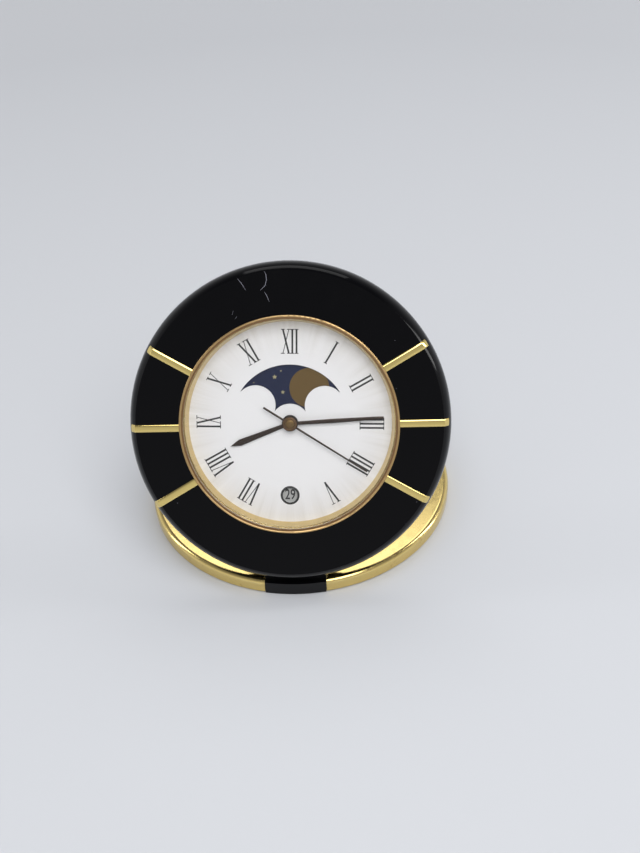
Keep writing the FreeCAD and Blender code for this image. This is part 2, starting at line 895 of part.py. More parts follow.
def mesh_phase(phase, teeth, other_teeth, direction):
    """Phase of a wheel that meets another, given that one's phase and the direction from it, in radians."""
    ahead = (phase - direction) % (2 * math.pi / teeth)
    return direction + math.pi - ahead * teeth / other_teeth + math.pi / other_teeth


def shares(distance, teeth, other_teeth):
    """The two pitch radii of a pair of wheels a distance apart."""
    return distance * teeth / (teeth + other_teeth), distance * other_teeth / (teeth + other_teeth)


def fused(pieces):
    """One solid from pieces that touch."""
    return pieces[0].multiFuse(pieces[1:]).removeSplitter()


work_distance = float(s.work_distance)
day_distance = float(s.day_distance)
step_distance = float(s.step_distance)
rotor_distance = float(s.rotor_distance)
third_distance = float(s.third_distance)
minute_centre = (work_distance, 0.0)
setting_centre = (work_distance * 2, 0.0)
day_centre = polar(day_distance, DAY_DIRECTION)
step_centre = polar(step_distance, STEP_DIRECTION)
rotor_offset = polar(rotor_distance, ROTOR_DIRECTION)
rotor_centre = (step_centre[0] + rotor_offset[0], step_centre[1] + rotor_offset[1])
third_centre = polar(third_distance, THIRD_DIRECTION)


def hand_outline(outline, bottom, degrees):
    """A flat hand: half outline of (along, half width) points, mirrored, pointing at a clock angle."""
    turn = math.radians(90 - degrees - DIAL_TURN)
    along = Vector(math.cos(turn), math.sin(turn), 0)
    across = Vector(-math.sin(turn), math.cos(turn), 0)
    lift = Vector(0, 0, float(bottom))
    upper = [along * reach + across * half + lift for reach, half in outline]
    lower = [along * reach - across * half + lift for reach, half in reversed(outline) if half > 0]
    points = upper + lower
    points.append(points[0])
    return Part.Face(Part.makePolygon(points)).extrude(Vector(0, 0, float(s.hand_thick)))


HAND_START = 0.6


def hour_group():
    """Hour wheel with the pinion that drives the day wheel and the pipe that carries the hour hand."""
    wheel_radius = shares(work_distance, HOUR_WHEEL_TEETH, MINUTE_PINION_TEETH)[0]
    pinion_radius = shares(day_distance, HOUR_PINION_TEETH, DAY_WHEEL_TEETH)[0]
    hand_low = hour_hand_low
    hand_top = hand_low + s.hand_thick
    body = fused([
        toothed(HOUR_WHEEL_TEETH, wheel_radius, hour_level, s.work_wheel_thick, 0.0),
        rod(float(hour_pipe), hour_level, hand_top),
        toothed(HOUR_PINION_TEETH, pinion_radius, day_level, s.work_wheel_thick, 0.0),
    ])
    bore = rod(hour_bore, plate_under, face)
    keep("hour_wheel", feature("hour_wheel", body.cut(bore)), HEAD)
    reach = float(s.hour_reach)
    half = float(s.hour_width) / 2
    outline = [(HAND_START, half * 0.55), (reach * 0.84, half), (reach, 0.0)]
    blade = hand_outline(outline, hand_low, HOUR_ANGLE)
    ring = rod(float(hour_pipe + s.hand_boss), hand_low, hand_top)
    hole = rod(hour_pipe, plate_under, face)
    keep("hour_hand", feature("hour_hand", fused([blade, ring]).cut(hole)), HEAD)


def minute_group():
    """Cannon pinion, slipped over the centre wheel's tube, and the minute hand on its pipe."""
    radius = shares(work_distance, CANNON_TEETH, MINUTE_WHEEL_TEETH)[0]
    hand_low = minute_hand_low
    hand_top = hand_low + s.hand_thick
    body = fused([
        toothed(CANNON_TEETH, radius, cannon_level, s.work_wheel_thick, 0.0),
        rod(cannon_pipe, cannon_level, hand_top),
    ])
    bore = rod(cannon_bore, plate_under, face)
    keep("cannon_pinion", feature("cannon_pinion", body.cut(bore)), HEAD)
    reach = float(s.minute_reach)
    half = float(s.minute_width) / 2
    outline = [
        (HAND_START, half * 0.8),
        (reach * 0.45, half),
        (reach * 0.92, half * 0.7),
        (reach, half * 0.55),
    ]
    blade = hand_outline(outline, hand_low, MINUTE_ANGLE)
    ring = rod(float(cannon_pipe + s.hand_boss), hand_low, hand_top)
    hole = rod(cannon_pipe, plate_under, face)
    keep("minute_hand", feature("minute_hand", fused([blade, ring]).cut(hole)), HEAD)


def motion_wheels():
    """Minute wheel with its pinion, the day wheel, and the setting knob with its own pinion."""
    thick = s.work_wheel_thick
    wheel_radius = shares(work_distance, MINUTE_WHEEL_TEETH, CANNON_TEETH)[0]
    pinion_radius = shares(work_distance, MINUTE_PINION_TEETH, HOUR_WHEEL_TEETH)[0]
    wheel_phase = mesh_phase(0.0, CANNON_TEETH, MINUTE_WHEEL_TEETH, 0.0)
    pinion_phase = mesh_phase(0.0, HOUR_WHEEL_TEETH, MINUTE_PINION_TEETH, 0.0)
    wheel = fused([
        toothed(MINUTE_WHEEL_TEETH, wheel_radius, cannon_level, thick, wheel_phase, minute_centre),
        rod(pinion_radius * 0.6, cannon_level, hour_level + thick, minute_centre),
        toothed(MINUTE_PINION_TEETH, pinion_radius, hour_level, thick, pinion_phase, minute_centre),
        rod(s.pivot_radius, plate_under, day_level + thick, minute_centre),
    ])
    keep("minute_wheel", feature("minute_wheel", wheel), HEAD)
    day_radius = shares(day_distance, DAY_WHEEL_TEETH, HOUR_PINION_TEETH)[0]
    day_phase = mesh_phase(0.0, HOUR_PINION_TEETH, DAY_WHEEL_TEETH, math.radians(DAY_DIRECTION))
    day = fused([
        toothed(DAY_WHEEL_TEETH, day_radius, day_level, thick, day_phase, day_centre),
        rod(s.pivot_radius, plate_under, day_level + thick, day_centre),
    ])
    keep("day_wheel", feature("day_wheel", day), HEAD)
    setting_radius = work_distance - wheel_radius
    setting_phase = mesh_phase(wheel_phase, MINUTE_WHEEL_TEETH, SETTING_TEETH, 0.0)
    knob = fused([
        toothed(SETTING_TEETH, setting_radius, cannon_level, thick, setting_phase, setting_centre),
        rod(s.knob_stem, s.knob_height, cannon_level + thick, setting_centre),
        rod(s.knob_radius, 0, s.knob_height, setting_centre),
    ])
    slot_length = float(s.knob_radius - s.knob_slot_margin) * 2
    slot = Part.makeBox(slot_length, float(s.knob_slot_width), float(s.knob_slot_depth))
    slot.translate(Vector(setting_centre[0] - slot_length / 2, -float(s.knob_slot_width) / 2, 0))
    keep("setting_knob", feature("setting_knob", knob.cut(slot)), HEAD)


def train_wheels():
    """Rotor, step wheel, second wheel, third wheel and centre wheel, between the plate and the bridge."""
    thick = s.train_wheel_thick
    top = plate_under + s.pivot_clear * 2
    low = bridge_top - s.pivot_clear * 2
    second_radius, step_pinion = shares(step_distance, SECOND_WHEEL_TEETH, STEP_PINION_TEETH)
    step_radius, rotor_pinion = shares(rotor_distance, STEP_WHEEL_TEETH, ROTOR_TEETH)
    third_radius, second_pinion = shares(third_distance, THIRD_WHEEL_TEETH, SECOND_PINION_TEETH)
    centre_radius, third_pinion = shares(third_distance, CENTRE_WHEEL_TEETH, THIRD_PINION_TEETH)
    away = math.radians(THIRD_DIRECTION)
    step_way = math.radians(STEP_DIRECTION)
    rotor_way = math.radians(ROTOR_DIRECTION)
    second = fused([
        rod(s.second_arbor, bridge_under, second_hand_low + s.hand_thick),
        toothed(SECOND_WHEEL_TEETH, second_radius, second_level, thick, 0.0),
        rod(second_pinion * 0.6, second_level, third_level + thick),
        toothed(SECOND_PINION_TEETH, second_pinion, third_level, thick, 0.0),
    ])
    keep("second_wheel", feature("second_wheel", second), HEAD)
    step = fused([
        rod(s.pivot_radius, bridge_under, plate_under + s.plate_floor / 2, step_centre),
        toothed(STEP_PINION_TEETH, step_pinion, second_level, thick,
                mesh_phase(0.0, SECOND_WHEEL_TEETH, STEP_PINION_TEETH, step_way), step_centre),
        rod(step_pinion * 0.6, step_level, second_level + thick, step_centre),
        toothed(STEP_WHEEL_TEETH, step_radius, step_level, thick, 0.0, step_centre),
    ])
    keep("step_wheel", feature("step_wheel", step), HEAD)
    rotor = fused([
        rod(s.pivot_radius, bridge_under, plate_under + s.plate_floor / 2, rotor_centre),
        toothed(ROTOR_TEETH, rotor_pinion, step_level, thick,
                mesh_phase(0.0, STEP_WHEEL_TEETH, ROTOR_TEETH, rotor_way), rotor_centre),
        rod(s.magnet_radius, second_level + thick / 2, centre_level + thick, rotor_centre),
    ])
    keep("rotor", feature("rotor", rotor), HEAD)
    third = fused([
        rod(s.pivot_radius, bridge_under, plate_under + s.plate_floor / 2, third_centre),
        toothed(THIRD_WHEEL_TEETH, third_radius, third_level, thick,
                mesh_phase(0.0, SECOND_PINION_TEETH, THIRD_WHEEL_TEETH, away), third_centre),
        rod(third_pinion * 0.6, third_level, centre_level + thick, third_centre),
        toothed(THIRD_PINION_TEETH, third_pinion, centre_level, thick,
                mesh_phase(0.0, CENTRE_WHEEL_TEETH, THIRD_PINION_TEETH, away), third_centre),
    ])
    keep("third_wheel", feature("third_wheel", third), HEAD)
    tube_top = hour_level + s.work_wheel_thick
    centre = fused([
        toothed(CENTRE_WHEEL_TEETH, centre_radius, centre_level, thick, 0.0),
        rod(centre_tube, centre_level, tube_top),
    ]).cut(rod(centre_tube_bore, bridge_under, face))
    keep("centre_wheel", feature("centre_wheel", centre), HEAD)


def second_hand():
    """Thin second hand with a counterpoise tail, and the domed cap over the middle."""
    low = second_hand_low
    half = float(s.second_width) / 2
    tip = half * float(s.second_tip_share)
    outline = [(-float(s.second_tail), half), (0.0, half), (float(s.second_reach), tip)]
    blade = hand_outline(outline, low, SECOND_ANGLE)
    ring = rod(float(s.second_arbor + s.hand_boss), low, low + s.hand_thick)
    hole = rod(s.second_arbor, plate_under, face)
    keep("second_hand", feature("second_hand", fused([blade, ring]).cut(hole)), HEAD)
    base = low + s.hand_thick
    dome = (s.cap_radius * s.cap_radius + s.cap_height * s.cap_height) / (s.cap_height * 2)
    outline = [
        (0, base),
        (s.cap_radius, base),
        (s.cap_radius, base + s.cap_edge),
        (0, base + s.cap_edge + s.cap_height, dome),
    ]
    keep("hand_cap", turned("hand_cap", outline), HEAD)


def notched_ring(outer, inner, teeth, depth, inside):
    """Flat ring with saw teeth, on its bore or on its rim."""
    edge = inner if inside else outer
    points = []
    for k in range(teeth):
        for radius, share in ((edge, 0.0), (edge + depth if inside else edge - depth, 0.5)):
            turn = 2 * math.pi * (k + share) / teeth
            points.append(Vector(radius * math.cos(turn), radius * math.sin(turn), float(ring_under)))
    points.append(points[0])
    toothed_edge = Part.Face(Part.makePolygon(points)).extrude(Vector(0, 0, float(s.ring_thick)))
    if inside:
        return rod(outer, ring_under, ring_top).cut(toothed_edge)
    return toothed_edge.cut(rod(inner, ring_under, ring_top))


def calendar_rings():
    """Date ring with a tooth for each day of the month, and moon disc with one for each day of two moons."""
    date = notched_ring(float(date_ring_radius), float(date_ring_bore) - float(s.date_tooth), DATE_TEETH,
                        float(s.date_tooth), True)
    keep("date_ring", feature("date_ring", date), HEAD)
    moon = notched_ring(float(moon_disc_radius), float(hour_pipe) + float(s.disc_clear), MOON_TEETH,
                        float(s.moon_tooth), False)
    keep("moon_disc", feature("moon_disc", moon), HEAD)


# Movement frame and electric parts

# tip radius of the setting pinion, a quarter of the arbors' distance and its teeth's height
SETTING_TIP = s.work_distance / 4 + s.work_distance / 2 / SETTING_TEETH * TIP_SHARE


def main_plate():
    """Plate that carries the train: a pocket under the dial for the motion wheels, and a guide rim."""
    disc = cylinder("plate_disc", s.plate_radius, plate_under, ring_top - plate_under)
    top_bore = cylinder("plate_top_bore", rim_bore, plate_top, face)
    setting_tip = SETTING_TIP + s.works_margin
    pocket = cylinder("plate_pocket", s.work_distance * 2 + setting_tip, pocket_floor, face)
    tools = [top_bore, pocket, cylinder("plate_centre_hole", centre_tube + s.pivot_clear, 0, face)]
    pivots = [minute_centre, day_centre, step_centre, rotor_centre, third_centre]
    for i, centre in enumerate(pivots, start=1):
        tools.append(cylinder(f"plate_pivot_{i}", s.pivot_radius + s.pivot_clear, 0, face,
                              centre[0], centre[1]))
    tools.append(cylinder("plate_stem_hole", s.knob_stem + s.pivot_clear, 0, face,
                          setting_centre[0], setting_centre[1]))
    for i, (x, y) in enumerate(bridge_posts, start=1):
        tools.append(cylinder(f"plate_thread_{i}", s.bridge_screw_radius, 0, plate_under + s.plate_floor / 2,
                              x, y))
    keep("main_plate", cut("main_plate", disc, tools), HEAD)


bridge_posts = [
    (-s.lug_left, s.lug_left_rise),
    (s.lug_right, s.lug_right_rise),
    (s.lug_foot, -s.lug_foot_drop),
]


def train_bridge():
    """Bridge over the train, on three pillars that meet the plate."""
    margin = s.bridge_margin
    left = -s.third_distance - margin
    right = step_centre[0] + margin
    top = step_centre[1] + margin
    low = -s.bridge_low
    slab = box("bridge_slab", (left, low, bridge_under), (right - left, top - low, s.bridge_thick))
    lobe = box("bridge_lobe", (0, rotor_centre[1] - margin, bridge_under),
               (rotor_centre[0] + margin, margin * 2, s.bridge_thick))
    half = s.bridge_arm / 2
    arms = [
        box("bridge_arm_1", (-s.lug_left, s.lug_left_rise - half, bridge_under),
            (s.lug_left, s.bridge_arm, s.bridge_thick)),
        box("bridge_arm_2", (s.lug_right - half, rotor_centre[1], bridge_under),
            (s.bridge_arm, s.lug_right_rise - rotor_centre[1], s.bridge_thick)),
        box("bridge_arm_3", (s.lug_foot - half, -s.lug_foot_drop, bridge_under),
            (s.bridge_arm, s.lug_foot_drop, s.bridge_thick)),
    ]
    pillars = []
    tools = []
    for i, (x, y) in enumerate(bridge_posts, start=1):
        pillars.append(cylinder(f"bridge_pillar_{i}", s.bridge_lug, bridge_under, plate_under - bridge_under,
                                x, y))
        tools.append(cylinder(f"bridge_hole_{i}", s.bridge_screw_radius, 0, face, x, y))
    for i, centre in enumerate([step_centre, rotor_centre, third_centre], start=1):
        tools.append(cylinder(f"bridge_pivot_{i}", s.pivot_radius + s.pivot_clear, 0, face,
                              centre[0], centre[1]))
    tools.append(cylinder("bridge_centre", s.second_arbor + s.pivot_clear, 0, face))
    mass = joined("bridge_mass", [slab, lobe] + arms + pillars)
    keep("train_bridge", cut("train_bridge", mass, tools), HEAD)


def bridge_screws():
    """Three screws through the bridge's pillars into the plate."""
    screws = []
    for i, (x, y) in enumerate(bridge_posts, start=1):
        head = cylinder(f"bridge_screw_head_{i}", s.bridge_screw_head, bridge_under - s.bridge_screw_rise,
                        s.bridge_screw_rise, x, y)
        shank = cylinder(f"bridge_screw_shank_{i}", s.bridge_screw_radius, bridge_under - s.bridge_screw_rise,
                         plate_under + s.plate_floor / 2 - bridge_under + s.bridge_screw_rise, x, y)
        screws.append(joined(f"bridge_screw_{i}", [head, shank]))
    keep("bridge_screws", group("bridge_screws", screws), HEAD)


def movement_holder():
    """Moulded ring that centres the movement in the case and bears on the web behind the dial."""
    outline = [
        (holder_bore, plate_under),
        (web_bore + s.holder_lip, plate_under),
        (web_bore + s.holder_lip, web_under),
        (web_bore - s.holder_fit * 2, web_under),
        (web_bore - s.holder_fit * 2, ring_top),
        (holder_bore, ring_top),
    ]
    keep("movement_holder", turned("movement_holder", outline), HEAD)


def motor():
    """Stator plate round the rotor, the coil's core across its arms, and the copper winding on the core."""
    x, y = rotor_centre
    low = third_level
    core_low = low - s.core_thick
    coil_y = y + s.coil_rise
    coil_x = x - s.coil_shift
    half_coil = s.coil_length / 2
    left = half_coil + s.core_width
    bar = s.stator_bar
    reach = coil_y + s.core_width / 2
    bore = s.magnet_radius + s.magnet_gap
    disc = cylinder("stator_disc", bore + s.stator_wall, low, s.core_thick, x, y)
    arms = [
        box("stator_left_arm", (coil_x - left, y + bar / 2, low),
            (s.core_width, reach - y - bar / 2, s.core_thick)),
        box("stator_left_foot", (coil_x - left, y + bar / 2, low), (left + s.magnet_gap, bar, s.core_thick)),
        box("stator_right_arm", (coil_x + half_coil, y - bar / 2, low),
            (s.core_width, reach - y + bar / 2, s.core_thick)),
        box("stator_right_foot", (x, y - bar / 2, low), (coil_x + left - x, bar, s.core_thick)),
    ]
    hole = cylinder("stator_hole", bore, 0, face, x, y)
    keep("stator", cut("stator", joined("stator_mass", [disc] + arms), [hole]), HEAD)
    bars = []
    for name in ("core_bar", "coil_slot"):
        bars.append(box(name, (coil_x - left, coil_y - s.core_width / 2, core_low),
                        (left * 2, s.core_width, s.core_thick)))
    keep("coil_core", group("coil_core", [bars[0]]), HEAD)
    winding = doc.addObject("Part::Cylinder", "coil_blank")
    bind(winding, "Radius", s.coil_radius)
    bind(winding, "Height", s.coil_length)
    winding.Placement.Rotation = FreeCAD.Rotation(Y_AXIS, 90)
    bind(winding, "Placement.Base.x", coil_x - half_coil)
    bind(winding, "Placement.Base.y", coil_y)
    bind(winding, "Placement.Base.z", core_low + s.core_thick / 2)
    keep("coil_winding", cut("coil_winding", winding, [bars[1]]), HEAD)


def circuit():
    """Circuit board under the plate, and the quartz can that lies on it."""
    low = plate_under - s.board_thick
    board = box("board_slab", (-s.board_left, -s.board_drop, low),
                (s.board_length, s.board_width, s.board_thick))
    chip = box("board_chip",
               (s.board_length - s.board_left - s.chip_size - s.chip_inset, s.chip_inset - s.board_drop,
                low - s.core_thick),
               (s.chip_size, s.chip_size, s.core_thick))
    keep("circuit_board", joined("circuit_board", [board, chip]), HEAD)
    can = doc.addObject("Part::Cylinder", "can_body")
    bind(can, "Radius", s.can_radius)
    bind(can, "Height", s.can_length)
    can.Placement.Rotation = FreeCAD.Rotation(Y_AXIS, 90)
    bind(can, "Placement.Base.x", s.can_inset - s.board_left)
    bind(can, "Placement.Base.y", s.board_width - s.board_drop - s.can_radius - s.can_inset)
    bind(can, "Placement.Base.z", low - s.can_radius)
    keep("quartz_can", group("quartz_can", [can]), HEAD)


cover_radius = s.battery_radius + s.cover_margin


def battery():
    """Button cell in its well, the leaf contact above it, and the bayonet cover behind it."""
    x = -s.battery_left
    y = -s.battery_drop
    cell = cylinder("battery_cell", s.battery_radius, cell_low, s.battery_thick, x, y)
    keep("battery", group("battery", [cell]), HEAD)
    start = s.battery_left + s.contact_reach
    strip = box("contact_strip", (-start, y - s.contact_width / 2, cell_top),
                (start - s.board_left, s.contact_width, s.contact_thick))
    keep("battery_contact", group("battery_contact", [strip]), HEAD)
    disc = cylinder("cover_disc", cover_radius, 0, s.housing_back, x, y)
    skirt_radius = cover_radius - s.cover_skirt_step
    skirt = cylinder("cover_skirt", skirt_radius, 0, s.housing_back + s.cover_lug_thick, x, y)
    lug_reach = skirt_radius + s.cover_lug
    lugs = box("cover_lugs", (x - lug_reach, y - s.cover_lug, s.housing_back),
               (lug_reach * 2, s.cover_lug * 2, s.cover_lug_thick))
    slot_half = cover_radius - s.knob_slot_margin
    slot = box("cover_slot", (x - slot_half, y - s.knob_slot_width / 2, 0),
               (slot_half * 2, s.knob_slot_width, s.housing_back / 2))
    keep("battery_cover", cut("battery_cover", joined("cover_mass", [disc, skirt, lugs]), [slot]), HEAD)


# Rear housing and its controls

corrector_heights = (("date", s.date_corrector_rise), ("moon", -s.moon_corrector_drop))


def rear_housing():
    """Moulded cup over the movement, with four screw posts and openings for knob, correctors and battery."""
    inside = housing_radius - s.housing_wall
    outline = [
        (0, 0),
        (housing_radius - s.housing_edge, 0),
        (housing_radius, s.housing_edge, s.housing_edge),
        (housing_radius, web_under - s.housing_fit / 2),
        (inside, web_under - s.housing_fit / 2),
        (inside, s.housing_back),
        (0, s.housing_back),
    ]
    cup = turned("housing_cup", outline)
    posts = []
    tools = []
    for i in range(4):
        x, y = polar(screw_ring, 45 + 90 * i)
        posts.append(cylinder(f"housing_post_{i + 1}", s.housing_post, s.housing_back / 2,
                              web_under - s.housing_fit / 2 - s.housing_back / 2, x, y))
        tools.append(cylinder(f"housing_hole_{i + 1}", s.housing_screw_radius, 0, face, x, y))
        tools.append(cylinder(f"housing_sink_{i + 1}", s.housing_screw_head + s.housing_fit, 0,
                              s.housing_screw_sink + s.housing_screw_rise, x, y))
    tools.append(cylinder("knob_hole", s.knob_radius + s.knob_clear, 0, s.housing_back,
                          setting_centre[0], setting_centre[1]))
    tools.append(cylinder("cover_hole", cover_radius + s.cover_clear, 0, s.housing_back,
                          -s.battery_left, -s.battery_drop))
    for name, y in corrector_heights:
        tools.append(cylinder(f"{name}_corrector_hole", s.corrector_radius + s.corrector_clear, 0,
                              s.housing_back, -s.corrector_left, y))
    keep("rear_housing", cut("rear_housing", joined("housing_mass", [cup] + posts), tools), HEAD)


def housing_screws():
    """Four screws through the posts into the web behind the dial."""
    screws = []
    low = s.housing_screw_sink
    top = web_under + s.housing_screw_bite
    for i in range(4):
        x, y = polar(screw_ring, 45 + 90 * i)
        head = cylinder(f"housing_screw_head_{i + 1}", s.housing_screw_head, low, s.housing_screw_rise, x, y)
        shank = cylinder(f"housing_screw_shank_{i + 1}", s.housing_screw_radius, low, top - low, x, y)
        slot = box(f"housing_screw_slot_{i + 1}", (x - s.housing_screw_head, y - s.housing_screw_sink, 0),
                   (s.housing_screw_head * 2, s.housing_screw_sink * 2, s.housing_screw_rise / 2 + low))
        mass = joined(f"housing_screw_mass_{i + 1}", [head, shank])
        screws.append(cut(f"housing_screw_{i + 1}", mass, [slot]))
    keep("housing_screws", group("housing_screws", screws), HEAD)


def correctors():
    """Push pieces that step the date and the moon on, each with a leaf spring fixed under the plate."""
    leaves = []
    for name, y in corrector_heights:
        stem = cylinder(f"{name}_stem", s.corrector_radius, 0, s.corrector_length, -s.corrector_left, y)
        flange = cylinder(f"{name}_flange", s.corrector_flange, s.housing_back, s.corrector_flange_thick,
                          -s.corrector_left, y)
        keep(f"{name}_corrector", joined(f"{name}_corrector", [stem, flange]), HEAD)
        foot_length = s.spring_width / 2
        blade_left = -s.corrector_left - s.corrector_radius
        blade_low = s.corrector_length + s.corrector_travel + s.corrector_clear
        blade = box(f"{name}_leaf", (blade_left, y - s.spring_width / 2, blade_low),
                    (s.spring_length, s.spring_width, s.spring_thick))
        foot = box(f"{name}_leaf_foot",
                   (blade_left + s.spring_length - foot_length, y - s.spring_width / 2, blade_low),
                   (foot_length, s.spring_width, plate_under - blade_low))
        leaves.append(joined(f"{name}_spring", [blade, foot]))
    keep("corrector_springs", group("corrector_springs", leaves), HEAD)


def build():
    """Make every sub-part, from the foot upwards and the dial inwards."""
    foot_shell()
    foot_pad()
    recess_lining()
    hinge_block()
    hinge_pin()
    hinge_washers()
    hinge_screws()
    lacquered_case()
    inlay_bars()
    bezel()
    crystal_gasket()
    crystal()
    rehaut_ring()
    dial()
    hour_group()
    minute_group()
    motion_wheels()
    train_wheels()
    second_hand()
    calendar_rings()
    main_plate()
    train_bridge()
    bridge_screws()
    movement_holder()
    motor()
    circuit()
    battery()
    rear_housing()
    housing_screws()
    correctors()


def check():
    """Stop if any object of the document failed, or a sub-part has no sound solid."""
    for thing in doc.Objects:
        if "Invalid" in thing.State or "Error" in thing.State:
            raise RuntimeError(f"{thing.Label} failed: {thing.State}")
    for thing in nodes:
        shape = thing.Shape
        if shape.isNull() or not shape.isValid() or not shape.Solids:
            raise RuntimeError(f"{thing.Label} has no sound solid")


build()
doc.recompute()
check()
os.makedirs("parts", exist_ok=True)
for node in nodes:
    node.Shape.exportStep(f"parts/{node.Label}.step")
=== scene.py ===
"""Looks of the folding desk clock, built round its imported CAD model. Metres, +Z up, dial towards -Y."""
import math
import bpy
import numpy as np
from mathutils import Matrix, Vector


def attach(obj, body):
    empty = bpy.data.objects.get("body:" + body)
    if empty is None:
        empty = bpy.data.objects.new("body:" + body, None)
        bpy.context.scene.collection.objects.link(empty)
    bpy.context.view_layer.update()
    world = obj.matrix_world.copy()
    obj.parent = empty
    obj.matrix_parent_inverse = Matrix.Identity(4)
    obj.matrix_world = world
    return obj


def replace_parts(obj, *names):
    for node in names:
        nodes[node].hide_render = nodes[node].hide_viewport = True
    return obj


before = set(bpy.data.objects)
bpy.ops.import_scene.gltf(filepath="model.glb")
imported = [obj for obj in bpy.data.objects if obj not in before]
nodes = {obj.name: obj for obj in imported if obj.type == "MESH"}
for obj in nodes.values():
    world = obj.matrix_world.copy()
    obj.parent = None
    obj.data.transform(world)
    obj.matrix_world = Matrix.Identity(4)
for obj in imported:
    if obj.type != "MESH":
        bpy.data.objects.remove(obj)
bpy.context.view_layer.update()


# The head's own frame
# Most pieces lie on the leaning head, so they are laid out flat in millimetres: X right, Y up the dial, Z
# towards the reader, and 0 at the middle of the dial on the head's rearmost face. One matrix carries them
# onto the head.
MM = 0.001
OPENING = math.radians(61.0)
AXIS_Y = -35.3
AXIS_HEIGHT = 6.0
AXIS_UP = 3.4

HEAD = (
    Matrix.Translation(Vector((0, AXIS_Y, AXIS_HEIGHT)) * MM)
    @ Matrix.Rotation(OPENING, 4, "X")
    @ Matrix.Translation(Vector((0, -AXIS_Y, -AXIS_UP)) * MM)
    @ Matrix.Scale(MM, 4)
)


# Foot and bezel: gilt metal
# Brass plated with pale yellow gold and buffed. The eye reads a soft mirror with a lemon cast, fine rubbing
# marks that dull it in patches, and a browner tone where the plating has worn thin.
GILT = "E6CD86"
GILT_WORN = "C3A668"


def srgb(text):
    """Linear RGBA of a six-digit sRGB colour."""
    parts = [int(text[i:i + 2], 16) / 255 for i in (0, 2, 4)]
    return tuple(c / 12.92 if c <= 0.04045 else ((c + 0.055) / 1.055) ** 2.4 for c in parts) + (1.0,)


def add(tree, kind, **sockets):
    """A shader node with its settings and inputs. An input goes by its name, with underscores for spaces, or
    by its number after an i, and is linked when its value is a socket."""
    made = tree.nodes.new(kind)
    for key, value in sockets.items():
        if hasattr(made, key):
            setattr(made, key, value)
            continue
        numbered = key[0] == "i" and key[1:].isdigit()
        socket = made.inputs[int(key[1:]) if numbered else key.replace("_", " ")]
        if isinstance(value, bpy.types.NodeSocket):
            tree.links.new(value, socket)
        else:
            socket.default_value = value
    return made


def finish_of(name, colour, **settings):
    """A new material on one Principled shader; returns it with its tree and shader."""
    material = bpy.data.materials.new(name)
    material.use_nodes = True
    tree = material.node_tree
    shader = tree.nodes["Principled BSDF"]
    shader.inputs["Base Color"].default_value = srgb(colour)
    for key, value in settings.items():
        shader.inputs[key.replace("_", " ")].default_value = value
    return material, tree, shader


def millimetres(tree):
    """Object coordinates in millimetres."""
    place = add(tree, "ShaderNodeTexCoord").outputs["Object"]
    return add(tree, "ShaderNodeVectorMath", operation="SCALE", i0=place, Scale=1 / MM).outputs[0]


def head_millimetres(tree):
    """Coordinates in the head's own frame, in millimetres."""
    inverse = HEAD.inverted()
    place = add(tree, "ShaderNodeTexCoord")
    turn = inverse.to_euler()
    made = add(tree, "ShaderNodeMapping", vector_type="POINT", Vector=place.outputs["Object"])
    made.inputs["Location"].default_value = inverse.to_translation()
    made.inputs["Rotation"].default_value = (turn.x, turn.y, turn.z)
    made.inputs["Scale"].default_value = (1 / MM, 1 / MM, 1 / MM)
    return made.outputs[0]


def noise(tree, vector, scale, detail=3.0, rough=0.5):
    """A noise value from 0 to 1, at a scale in waves per millimetre."""
    made = add(tree, "ShaderNodeTexNoise", Vector=vector, Scale=scale, Detail=detail, Roughness=rough)
    return made.outputs[0]


def between(tree, value, low, high, start=0.0, end=1.0):
    """A value's range start..end mapped onto low..high."""
    made = add(tree, "ShaderNodeMapRange", Value=value)
    for key, number in (("From Min", start), ("From Max", end), ("To Min", low), ("To Max", high)):
        made.inputs[key].default_value = number
    return made.outputs[0]


def mixed(tree, factor, first, second):
    """Two colours mixed by a factor."""
    made = tree.nodes.new("ShaderNodeMix")
    made.data_type = "RGBA"
    for socket, value in ((made.inputs[0], factor), (made.inputs[6], first), (made.inputs[7], second)):
        if isinstance(value, bpy.types.NodeSocket):
            tree.links.new(value, socket)
        else:
            socket.default_value = value
    return made.outputs[2]


def bumped(tree, shader, height, strength, distance):
    """A bump on a shader from a height value."""
    made = add(tree, "ShaderNodeBump", Height=height, Strength=strength, Distance=distance * MM)
    tree.links.new(made.outputs[0], shader.inputs["Normal"])


def dress(material, *names):
    """Give CAD nodes a material."""
    for name in names:
        thing = nodes[name]
        for index in range(max(1, len(thing.material_slots))):
            if thing.material_slots:
                thing.material_slots[index].material = material
            else:
                thing.data.materials.append(material)


gilt, tree, shader = finish_of("gilt polished", GILT, Metallic=1.0)
mm = millimetres(tree)
worn = between(tree, noise(tree, mm, 0.4, 6.0, 0.7), 0.0, 1.0, 0.6, 0.72)
tree.links.new(mixed(tree, worn, srgb(GILT), srgb(GILT_WORN)), shader.inputs["Base Color"])
tree.links.new(between(tree, noise(tree, mm, 0.5, 4.0), 0.14, 0.22, 0.35, 0.7), shader.inputs["Roughness"])
bumped(tree, shader, noise(tree, mm, 1.1, 2.0), 0.08, 0.02)
dress(gilt, "foot_shell")

# the bezel and the setting knob are turned and satined, and browner; the ring under the glass is paler
gilt_satin, tree, shader = finish_of("gilt turned", "B6986A", Metallic=1.0, Roughness=0.32)
bumped(tree, shader, noise(tree, head_millimetres(tree), 5.0, 2.0), 0.12, 0.01)
dress(gilt_satin, "bezel", "setting_knob")
gilt_pale = finish_of("gilt pale", "DCC48C", Metallic=1.0, Roughness=0.24)[0]
dress(gilt_pale, "rehaut_ring")


